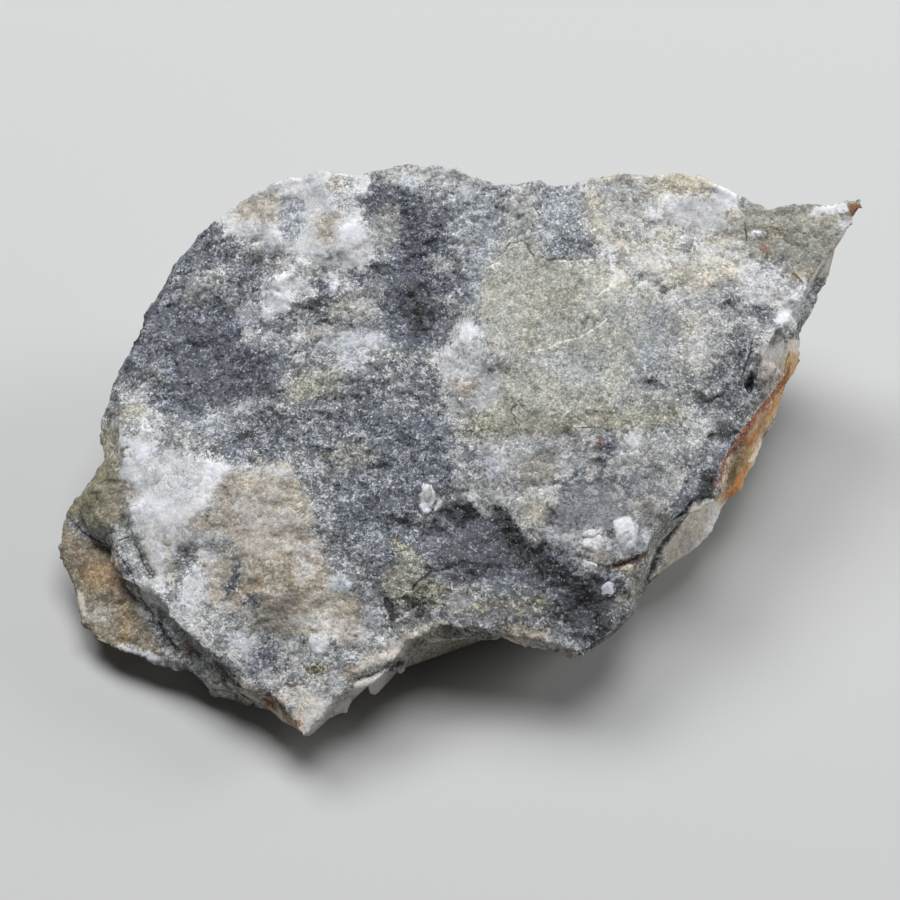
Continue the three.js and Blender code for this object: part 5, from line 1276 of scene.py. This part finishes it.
def grain_field_group():
    """Grains of broken crystal: fine specks, a coarser shade, rare painted glints, and the tilt of each face.
    """
    group, given, result = new_group(
        "grain_field",
        [("Size", "NodeSocketFloat", 0.3)],
        [("Pick", "NodeSocketFloat"), ("Speck", "NodeSocketFloat"), ("Shade", "NodeSocketFloat"),
         ("Fleck", "NodeSocketFloat"), ("Hue", "NodeSocketFloat"), ("Tilt", "NodeSocketVector"),
         ("Height", "NodeSocketFloat"), ("Wobble", "NodeSocketFloat")])
    place = node_of(group, "ShaderNodeTexCoord").outputs["Object"]
    scale = sum_of(group, "DIVIDE", 1000.0, given.outputs["Size"])
    place = vector_of(group, "SCALE", place, scale=scale)

    def grains(layer):
        factor, shift = GRAIN_LAYERS[layer]
        cell = node_of(group, "ShaderNodeTexVoronoi", voronoi_dimensions="3D", feature="F1")
        cell.inputs["Scale"].default_value = 1.0
        finer = vector_of(group, "SCALE", place, scale=factor)
        moved = vector_of(group, "ADD", finer, (shift, shift * 2, -shift))
        group.links.new(moved, cell.inputs["Vector"])
        split = node_of(group, "ShaderNodeSeparateColor")
        group.links.new(cell.outputs["Color"], split.inputs[0])
        return cell, split.outputs

    def scaled(value, factor, more=0.0):
        return sum_of(group, "MULTIPLY_ADD", value, factor, more)

    _, tiny_rgb = grains("tiny")
    fine, fine_rgb = grains("fine")
    middle, middle_rgb = grains("middle")
    _, coarse_rgb = grains("coarse")
    soft = node_of(group, "ShaderNodeTexNoise", noise_dimensions="3D")
    soft.inputs["Scale"].default_value = 0.13
    soft.inputs["Detail"].default_value = 4.0
    soft.inputs["Roughness"].default_value = 0.6
    group.links.new(place, soft.inputs["Vector"])
    pick = scaled(tiny_rgb[2], 0.35)
    for value, factor in ((fine_rgb[2], 0.55), (middle_rgb[2], 0.5), (coarse_rgb[2], 0.4),
                          (soft.outputs["Fac"], 0.9)):
        pick = scaled(value, factor, pick)
    even = node_of(group, "ShaderNodeMapRange", interpolation_type="SMOOTHSTEP")
    even.inputs["From Min"].default_value = 0.87
    even.inputs["From Max"].default_value = 1.83
    group.links.new(pick, even.inputs["Value"])
    group.links.new(even.outputs["Result"], result.inputs["Pick"])
    speck = scaled(fine_rgb[0], 0.9, scaled(tiny_rgb[0], 1.8, -1.35))
    group.links.new(speck, result.inputs["Speck"])
    shade = scaled(coarse_rgb[0], 0.4, scaled(middle_rgb[0], 0.8, -1.7))
    group.links.new(scaled(soft.outputs["Fac"], 2.2, shade), result.inputs["Shade"])
    # Painted glints: rare grains whose colour turns near white, as highlights; the material also makes them
    # smoother.
    glint = sum_of(group, "MAXIMUM", scaled(tiny_rgb[1], 20.0, -19.1), scaled(fine_rgb[1], 24.0, -23.5))
    group.links.new(held(group, glint, 0.0, 1.0), result.inputs["Fleck"])
    split = node_of(group, "ShaderNodeSeparateColor")
    group.links.new(soft.outputs["Color"], split.inputs[0])
    hue = scaled(middle_rgb[1], 0.5, scaled(coarse_rgb[1], 0.5, -1.8))
    group.links.new(scaled(split.outputs[2], 2.6, hue), result.inputs["Hue"])
    wobble = scaled(tiny_rgb[2], 0.5, scaled(fine_rgb[2], 0.5, -0.5))
    group.links.new(wobble, result.inputs["Wobble"])
    tilt = vector_of(group, "SUBTRACT", middle.outputs["Color"], (0.5, 0.5, 0.5))
    tilt_fine = vector_of(group, "SUBTRACT", fine.outputs["Color"], (0.5, 0.5, 0.5))
    tilt = vector_of(group, "ADD", tilt, vector_of(group, "SCALE", tilt_fine, scale=0.8))
    group.links.new(tilt, result.inputs["Tilt"])
    height = scaled(middle.outputs["Distance"], -1.0, scaled(fine.outputs["Distance"], -0.5))
    group.links.new(scaled(soft.outputs["Fac"], 2.0, height), result.inputs["Height"])
    return group


def grain_colour_group():
    """Gives each grain the light or the dark mineral's colour, then its own shade."""
    group, given, result = new_group(
        "grain_colour",
        [("Light", "NodeSocketColor", (0.6, 0.6, 0.6, 1)), ("Dark", "NodeSocketColor", (0.2, 0.2, 0.2, 1)),
         ("Share", "NodeSocketFloat", 0.5), ("Pick", "NodeSocketFloat", 0.5),
         ("Speck", "NodeSocketFloat", 0.0), ("Fineness", "NodeSocketFloat", 0.5),
         ("Shade", "NodeSocketFloat", 0.0), ("Grit", "NodeSocketFloat", 0.6),
         ("Fleck", "NodeSocketFloat", 0.0), ("Hue", "NodeSocketFloat", 0.0),
         ("Ink", "NodeSocketColor", (0.1, 0.1, 0.1, 1)), ("Line", "NodeSocketFloat", 0.0)],
        [("Colour", "NodeSocketColor")])
    light = sum_of(group, "SUBTRACT", given.outputs["Share"], given.outputs["Pick"])
    light = held(group, sum_of(group, "MULTIPLY_ADD", light, 5.0, 0.5), 0.0, 1.0)
    colour = mix_of(group, light, given.outputs["Dark"], given.outputs["Light"])
    warm = node_of(group, "ShaderNodeCombineColor")
    for socket, swing in zip(warm.inputs, (0.05, 0.0, -0.07)):
        group.links.new(sum_of(group, "MULTIPLY_ADD", given.outputs["Hue"], swing, 1.0), socket)
    colour = vector_of(group, "MULTIPLY", colour, warm.outputs[0])
    colour = mix_of(group, given.outputs["Line"], colour, given.outputs["Ink"])
    swing = sum_of(group, "MULTIPLY", given.outputs["Shade"], given.outputs["Grit"])
    swing = sum_of(group, "MULTIPLY_ADD", given.outputs["Speck"], given.outputs["Fineness"], swing)
    colour = vector_of(group, "SCALE", colour, scale=sum_of(group, "EXPONENT", swing))
    colour = vector_of(group, "MINIMUM", colour, LIGHTEST)
    # Painted glints: the picked grains are mixed toward a near-white colour, a highlight painted into the
    # colour.
    white = sum_of(group, "MULTIPLY", given.outputs["Fleck"], given.outputs["Fineness"])
    colour = mix_of(group, sum_of(group, "MINIMUM", white, 0.85), colour, PAINTED_GLINT)
    group.links.new(colour, result.inputs["Colour"])
    return group


def line_mask_group():
    """Where a crack, scratch or thin seam runs, with a crisp edge that follows the grains."""
    group, given, result = new_group(
        "line_mask",
        [("Side", "NodeSocketFloat", 1.0), ("Width", "NodeSocketFloat", 0.0),
         ("Wobble", "NodeSocketFloat", 0.0)],
        [("Line", "NodeSocketFloat")])
    width = given.outputs["Width"]
    margin = sum_of(group, "SUBTRACT", width, sum_of(group, "ABSOLUTE", given.outputs["Side"]))
    uneven = sum_of(group, "MULTIPLY", sum_of(group, "MULTIPLY", given.outputs["Wobble"], width), 1.1)
    line = sum_of(group, "MULTIPLY_ADD", sum_of(group, "ADD", margin, uneven), 14.0, 0.3)
    line = held(group, line, 0.0, 0.88)
    present = sum_of(group, "GREATER_THAN", width, 0.02)
    group.links.new(sum_of(group, "MULTIPLY", line, present), result.inputs["Line"])
    return group


def grain_normal_group():
    """Tilts the surface at each grain, as on a broken crystalline face."""
    group, given, result = new_group(
        "grain_normal",
        [("Tilt", "NodeSocketVector", None), ("Strength", "NodeSocketFloat", 0.5)],
        [("Normal", "NodeSocketVector")])
    base = node_of(group, "ShaderNodeNewGeometry").outputs["Normal"]
    turned = vector_of(group, "ADD", base, vector_of(group, "SCALE", given.outputs["Tilt"],
                                                     scale=given.outputs["Strength"]))
    group.links.new(vector_of(group, "NORMALIZE", turned), result.inputs["Normal"])
    return group


def group_node(tree, name):
    """A shader node group placed in a material."""
    return node_of(tree, "ShaderNodeGroup", node_tree=bpy.data.node_groups[name])


def attribute(tree, name):
    """What the mesh stores at its points under this name."""
    return node_of(tree, "ShaderNodeAttribute", attribute_name=name)


def new_material(name):
    """A new material with a plain shader."""
    material = bpy.data.materials.new(name)
    material.use_nodes = True
    tree = material.node_tree
    tree.nodes.clear()
    shader = node_of(tree, "ShaderNodeBsdfPrincipled")
    output = node_of(tree, "ShaderNodeOutputMaterial")
    tree.links.new(shader.outputs[0], output.inputs["Surface"])
    return material, tree, shader


def ore_material():
    """The stone's one material: the mineral masses with their grain, painted glints and roughness."""
    material, tree, shader = new_material("rough_ore")
    grain = group_node(tree, "grain_field")
    grain.inputs["Size"].default_value = GRAIN_SIZE
    colour = group_node(tree, "grain_colour")
    gloss = attribute(tree, "gloss").outputs["Fac"]
    for label, name in (("Light", "light"), ("Dark", "dark")):
        tree.links.new(attribute(tree, name).outputs["Color"], colour.inputs[label])
    for label, name in (("Share", "share"), ("Fineness", "speck"), ("Grit", "grit")):
        tree.links.new(attribute(tree, name).outputs["Fac"], colour.inputs[label])
    for label in ("Pick", "Speck", "Shade", "Fleck", "Hue"):
        tree.links.new(grain.outputs[label], colour.inputs[label])
    line = group_node(tree, "line_mask")
    tree.links.new(attribute(tree, "side").outputs["Fac"], line.inputs["Side"])
    tree.links.new(attribute(tree, "width").outputs["Fac"], line.inputs["Width"])
    tree.links.new(grain.outputs["Wobble"], line.inputs["Wobble"])
    tree.links.new(attribute(tree, "ink").outputs["Color"], colour.inputs["Ink"])
    tree.links.new(line.outputs["Line"], colour.inputs["Line"])
    tree.links.new(colour.outputs["Colour"], shader.inputs["Base Color"])
    tilt = group_node(tree, "grain_normal")
    tree.links.new(grain.outputs["Tilt"], tilt.inputs["Tilt"])
    speck = attribute(tree, "speck").outputs["Fac"]
    tree.links.new(sum_of(tree, "MULTIPLY_ADD", speck, 0.78, 0.1), tilt.inputs["Strength"])
    bump = node_of(tree, "ShaderNodeBump")
    bump.inputs["Distance"].default_value = GRAIN_BUMP
    bump.inputs["Strength"].default_value = 0.8
    uneven = sum_of(tree, "MULTIPLY_ADD", attribute(tree, "grit").outputs["Fac"], 1.8, 0.15)
    tree.links.new(sum_of(tree, "MULTIPLY", grain.outputs["Height"], uneven), bump.inputs["Height"])
    tree.links.new(tilt.outputs["Normal"], bump.inputs["Normal"])
    tree.links.new(bump.outputs["Normal"], shader.inputs["Normal"])
    dull = sum_of(tree, "MULTIPLY_ADD", gloss, -0.55, 0.88)
    dull = sum_of(tree, "MULTIPLY_ADD", grain.outputs["Fleck"], -0.25, dull)
    tree.links.new(sum_of(tree, "MAXIMUM", dull, 0.2), shader.inputs["Roughness"])
    return material


# ---------------------------------------------------------------- operators

class SPECIMEN_OT_ore_lump(bpy.types.Operator):
    """Builds the stone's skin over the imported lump"""

    bl_idname = "specimen.ore_lump"
    bl_label = "Ore lump"

    def execute(self, context):
        sizes = context.scene.ore_lump
        skin = self.fine_skin(context, sizes)
        mesh = skin.data
        co, edges = mesh_arrays(mesh)
        co = settle(co, edges, SETTLE_ROUNDS)
        set_places(mesh, co)
        soft = np.stack([evened(co[:, axis], edges, SOFT_ROUNDS) for axis in range(3)], 1)
        set_places(mesh, soft)
        on_face = smooth_step(vertex_normals(mesh) @ FACE_NORMAL, *ON_FACE)
        on_face *= smooth_step(evened(on_face, edges, SOFT_ROUNDS), *AMONG_FACE)
        co += (soft - co) * on_face[:, None]
        set_places(mesh, co)
        normals = vertex_normals(mesh)
        fields = mineral_fields(co, normals)
        lift = np.zeros(len(co), np.float32)
        for setting, seed, share in BREAK_STEPS:
            lift += breaks(co, getattr(sizes, setting), seed) * share
        lift = lift * sizes.relief * fields["relief"] + fields["rise"]
        lift *= smooth_step(co[:, 2], 0.0, FOOT_FADE)
        co = co + normals * lift[:, None]
        co[:, 2] = np.maximum(co[:, 2], 0.0)
        set_places(mesh, co)
        self.thin(context, skin, sizes)
        mesh = skin.data
        co, _ = mesh_arrays(mesh)
        co[:, 2] = np.maximum(co[:, 2], 0.0)
        set_places(mesh, co)
        fields = mineral_fields(co, vertex_normals(mesh))
        for name in PAINTED:
            put_attribute(mesh, name, fields[name])
        mesh.transform(Matrix.Scale(MM, 4))
        mesh.shade_smooth()
        mesh.materials.clear()
        mesh.materials.append(bpy.data.materials.get("rough_ore") or ore_material())
        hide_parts("ore_lump")
        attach(skin, "root")
        return {"FINISHED"}

    def fine_skin(self, context, sizes):
        """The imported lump, copied, closed and cut into fine even cells, in mm."""
        shape = bmesh.new()
        shape.from_mesh(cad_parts["ore_lump"].data)
        bmesh.ops.remove_doubles(shape, verts=shape.verts, dist=MERGE_WITHIN)
        bmesh.ops.scale(shape, verts=shape.verts, vec=(1 / MM,) * 3)
        mesh = bpy.data.meshes.new("ore_lump_skin")
        shape.to_mesh(mesh)
        shape.free()
        skin = bpy.data.objects.new("ore_lump_skin", mesh)
        context.scene.collection.objects.link(skin)
        cells = skin.modifiers.new("cells", "REMESH")
        cells.mode = "VOXEL"
        cells.voxel_size = sizes.voxel * 1
        swap_mesh(skin, applied(skin))
        return skin

    def thin(self, context, skin, sizes):
        """Drops triangles where the skin is plain, first on the sides that are turned down."""
        count = sum(len(p.vertices) - 2 for p in skin.data.polygons)
        if count <= sizes.triangles:
            return
        down = smooth_step(-vertex_normals(skin.data)[:, 2], -0.3, 0.3)
        group = skin.vertex_groups.new(name="turned_down")
        for step in range(THIN_STEPS):
            at = np.nonzero((down > step / THIN_STEPS - 0.001) & (down <= (step + 1) / THIN_STEPS))[0]
            group.add(at.tolist(), step / (THIN_STEPS - 1), "REPLACE")
        cut = skin.modifiers.new("thin", "DECIMATE")
        cut.ratio = sizes.triangles / count
        cut.vertex_group = group.name
        cut.vertex_group_factor = 1.0
        swap_mesh(skin, applied(skin))
        skin.vertex_groups.clear()


class SPECIMEN_OT_quartz_grains(bpy.types.Operator):
    """Sets the single quartz grains and flakes half sunk in the stone's skin"""

    bl_idname = "specimen.quartz_grains"
    bl_label = "Quartz grains"

    def execute(self, context):
        skin = bpy.data.objects["ore_lump_skin"].data
        points = [vert.co / MM for vert in skin.vertices]
        tree = BVHTree.FromPolygons(points, [face.vertices[:] for face in skin.polygons])
        joined = bmesh.new()
        kinds = []
        for number, (name, kind, place, half_sizes, turn, stand) in enumerate(GRAINS):
            grain = self.grain(number, half_sizes)
            grain.transform(self.seat(tree, place, half_sizes[2], turn, stand))
            mesh = bpy.data.meshes.new(name)
            grain.to_mesh(mesh)
            grain.free()
            kinds += [kind] * len(mesh.vertices)
            joined.from_mesh(mesh)
            bpy.data.meshes.remove(mesh)
        bmesh.ops.recalc_face_normals(joined, faces=joined.faces)
        mesh = bpy.data.meshes.new("quartz_grains")
        joined.to_mesh(mesh)
        joined.free()
        grains = bpy.data.objects.new("quartz_grains", mesh)
        context.scene.collection.objects.link(grains)
        self.paint(mesh, kinds)
        mesh.transform(Matrix.Scale(MM, 4))
        mesh.shade_smooth()
        mesh.set_sharp_from_angle(angle=GRAIN_SHARP)
        mesh.materials.append(bpy.data.materials["rough_ore"])
        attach(grains, "root")
        return {"FINISHED"}

    def grain(self, number, half_sizes):
        """A rounded lump broken along a few flat faces, lying along X."""
        pick = random.Random(GRAIN_SEED + number)
        shape = bmesh.new()
        bmesh.ops.create_icosphere(shape, subdivisions=3, radius=1.0)
        for _ in range(GRAIN_FACES):
            face = Vector([pick.uniform(-1, 1) for _ in range(3)]).normalized()
            out = pick.uniform(*GRAIN_FACE_OUT)
            for vert in shape.verts:
                over = vert.co.dot(face) - out
                if over > 0:
                    vert.co -= face * over
        for vert in shape.verts:
            lumps = noise.noise(vert.co * GRAIN_WAVE + Vector((number * 7.1, 0, 0)))
            vert.co *= 1 + GRAIN_UNEVEN * lumps
        bmesh.ops.scale(shape, verts=shape.verts, vec=half_sizes)
        return shape

    def seat(self, tree, place, half_height, turn, stand):
        """Where a grain lies: on the skin straight behind its place on the face."""
        up = Vector(UP)
        ray = (Vector(LOOK) * EYE_RANGE + up * place[1] + Vector((place[0], 0, 0))).normalized()
        hit, normal, _, _ = tree.ray_cast(Vector(EYE), ray)
        along = (Vector((math.cos(turn), 0, 0)) + up * math.sin(turn))
        along = (along - normal * along.dot(normal)).normalized()
        turned = Matrix((along, normal.cross(along), normal)).transposed().to_4x4()
        return Matrix.Translation(hit + normal * half_height * stand) @ turned

    def paint(self, mesh, kinds):
        """Gives each grain the colours and finish of its kind."""
        for name in FIELDS:
            if name in PAINTED:
                put_attribute(mesh, name, np.array([MINERALS[kind][name] for kind in kinds]))
        put_attribute(mesh, "side", np.full(len(kinds), LINE_REACH))
        put_attribute(mesh, "width", np.zeros(len(kinds)))
        put_attribute(mesh, "ink", np.zeros((len(kinds), 3)))


class SPECIMEN_OT_stage(bpy.types.Operator):
    """Sets out the pale floor, the soft studio light and the camera"""

    bl_idname = "specimen.stage"
    bl_label = "Stage"

    def execute(self, context):
        sizes = context.scene.stage
        shape = bmesh.new()
        bmesh.ops.create_grid(shape, x_segments=1, y_segments=1, size=sizes.floor_size / 2)
        mesh = bpy.data.meshes.new("floor")
        shape.to_mesh(mesh)
        shape.free()
        floor = bpy.data.objects.new("floor", mesh)
        context.scene.collection.objects.link(floor)
        material, _, shader = new_material("pale_floor")
        shader.inputs["Base Color"].default_value = (*sizes.floor_colour, 1)
        shader.inputs["Roughness"].default_value = 0.9
        mesh.materials.append(material)
        world = bpy.data.worlds.new("studio")
        context.scene.world = world
        world.use_nodes = True
        sky = world.node_tree.nodes["Background"]
        sky.inputs["Color"].default_value = SKY_COLOUR
        sky.inputs["Strength"].default_value = sizes.sky
        for name, place, width in LAMPS:
            self.light(context, name, place, width, getattr(sizes, name + "_power"))
        camera = bpy.data.objects.new("camera", bpy.data.cameras.new("camera"))
        context.scene.collection.objects.link(camera)
        camera.data.lens = EYE_LENS
        camera.data.sensor_width = EYE_SENSOR
        camera.data.clip_start = 0.01
        camera.data.clip_end = 20
        camera.location = Vector(EYE) * MM
        camera.rotation_mode = "QUATERNION"
        camera.rotation_quaternion = Vector(LOOK).to_track_quat("-Z", "Y")
        context.scene.camera = camera
        context.scene.view_settings.view_transform = "Standard"
        return {"FINISHED"}

    def light(self, context, name, place, width, power):
        """A round lamp that shines at the stone."""
        lamp = bpy.data.lights.new(name, "AREA")
        lamp.shape = "DISK"
        lamp.size = width
        lamp.energy = power
        lamp.color = LAMP_COLOUR
        obj = bpy.data.objects.new(name, lamp)
        context.scene.collection.objects.link(obj)
        obj.location = place
        obj.rotation_mode = "QUATERNION"
        obj.rotation_quaternion = (-Vector(place)).to_track_quat("-Z", "Y")


class SPECIMEN_PT_panel(bpy.types.Panel):
    """Lists the specimen's parts and sizes"""

    bl_label = "Acanthite specimen"
    bl_idname = "SPECIMEN_PT_panel"
    bl_space_type = "VIEW_3D"
    bl_region_type = "UI"
    bl_category = "Specimen"

    def draw(self, context):
        for settings, operators in PARTS:
            box = self.layout.box()
            group = getattr(context.scene, settings)
            for name in group.bl_rna.properties.keys():
                if name not in ("rna_type", "name"):
                    box.prop(group, name)
            for operator in operators:
                box.operator(operator)


# Settings on the panel, and the operators that use them.
PARTS = (("ore_lump", ("specimen.ore_lump", "specimen.quartz_grains")), ("stage", ("specimen.stage",)))
CLASSES = (OreLumpSettings, StageSettings, SPECIMEN_OT_ore_lump, SPECIMEN_OT_quartz_grains,
           SPECIMEN_OT_stage, SPECIMEN_PT_panel)


def register():
    for cls in CLASSES:
        bpy.utils.register_class(cls)
    bpy.types.Scene.ore_lump = PointerProperty(type=OreLumpSettings)
    bpy.types.Scene.stage = PointerProperty(type=StageSettings)


def unregister():
    del bpy.types.Scene.ore_lump
    del bpy.types.Scene.stage
    for cls in reversed(CLASSES):
        bpy.utils.unregister_class(cls)


def main():
    """Builds the whole specimen."""
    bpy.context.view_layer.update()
    register()
    grain_field_group()
    grain_colour_group()
    line_mask_group()
    grain_normal_group()
    bpy.ops.specimen.ore_lump()
    bpy.ops.specimen.quartz_grains()
    bpy.ops.specimen.stage()


if __name__ == "__main__":
    main()
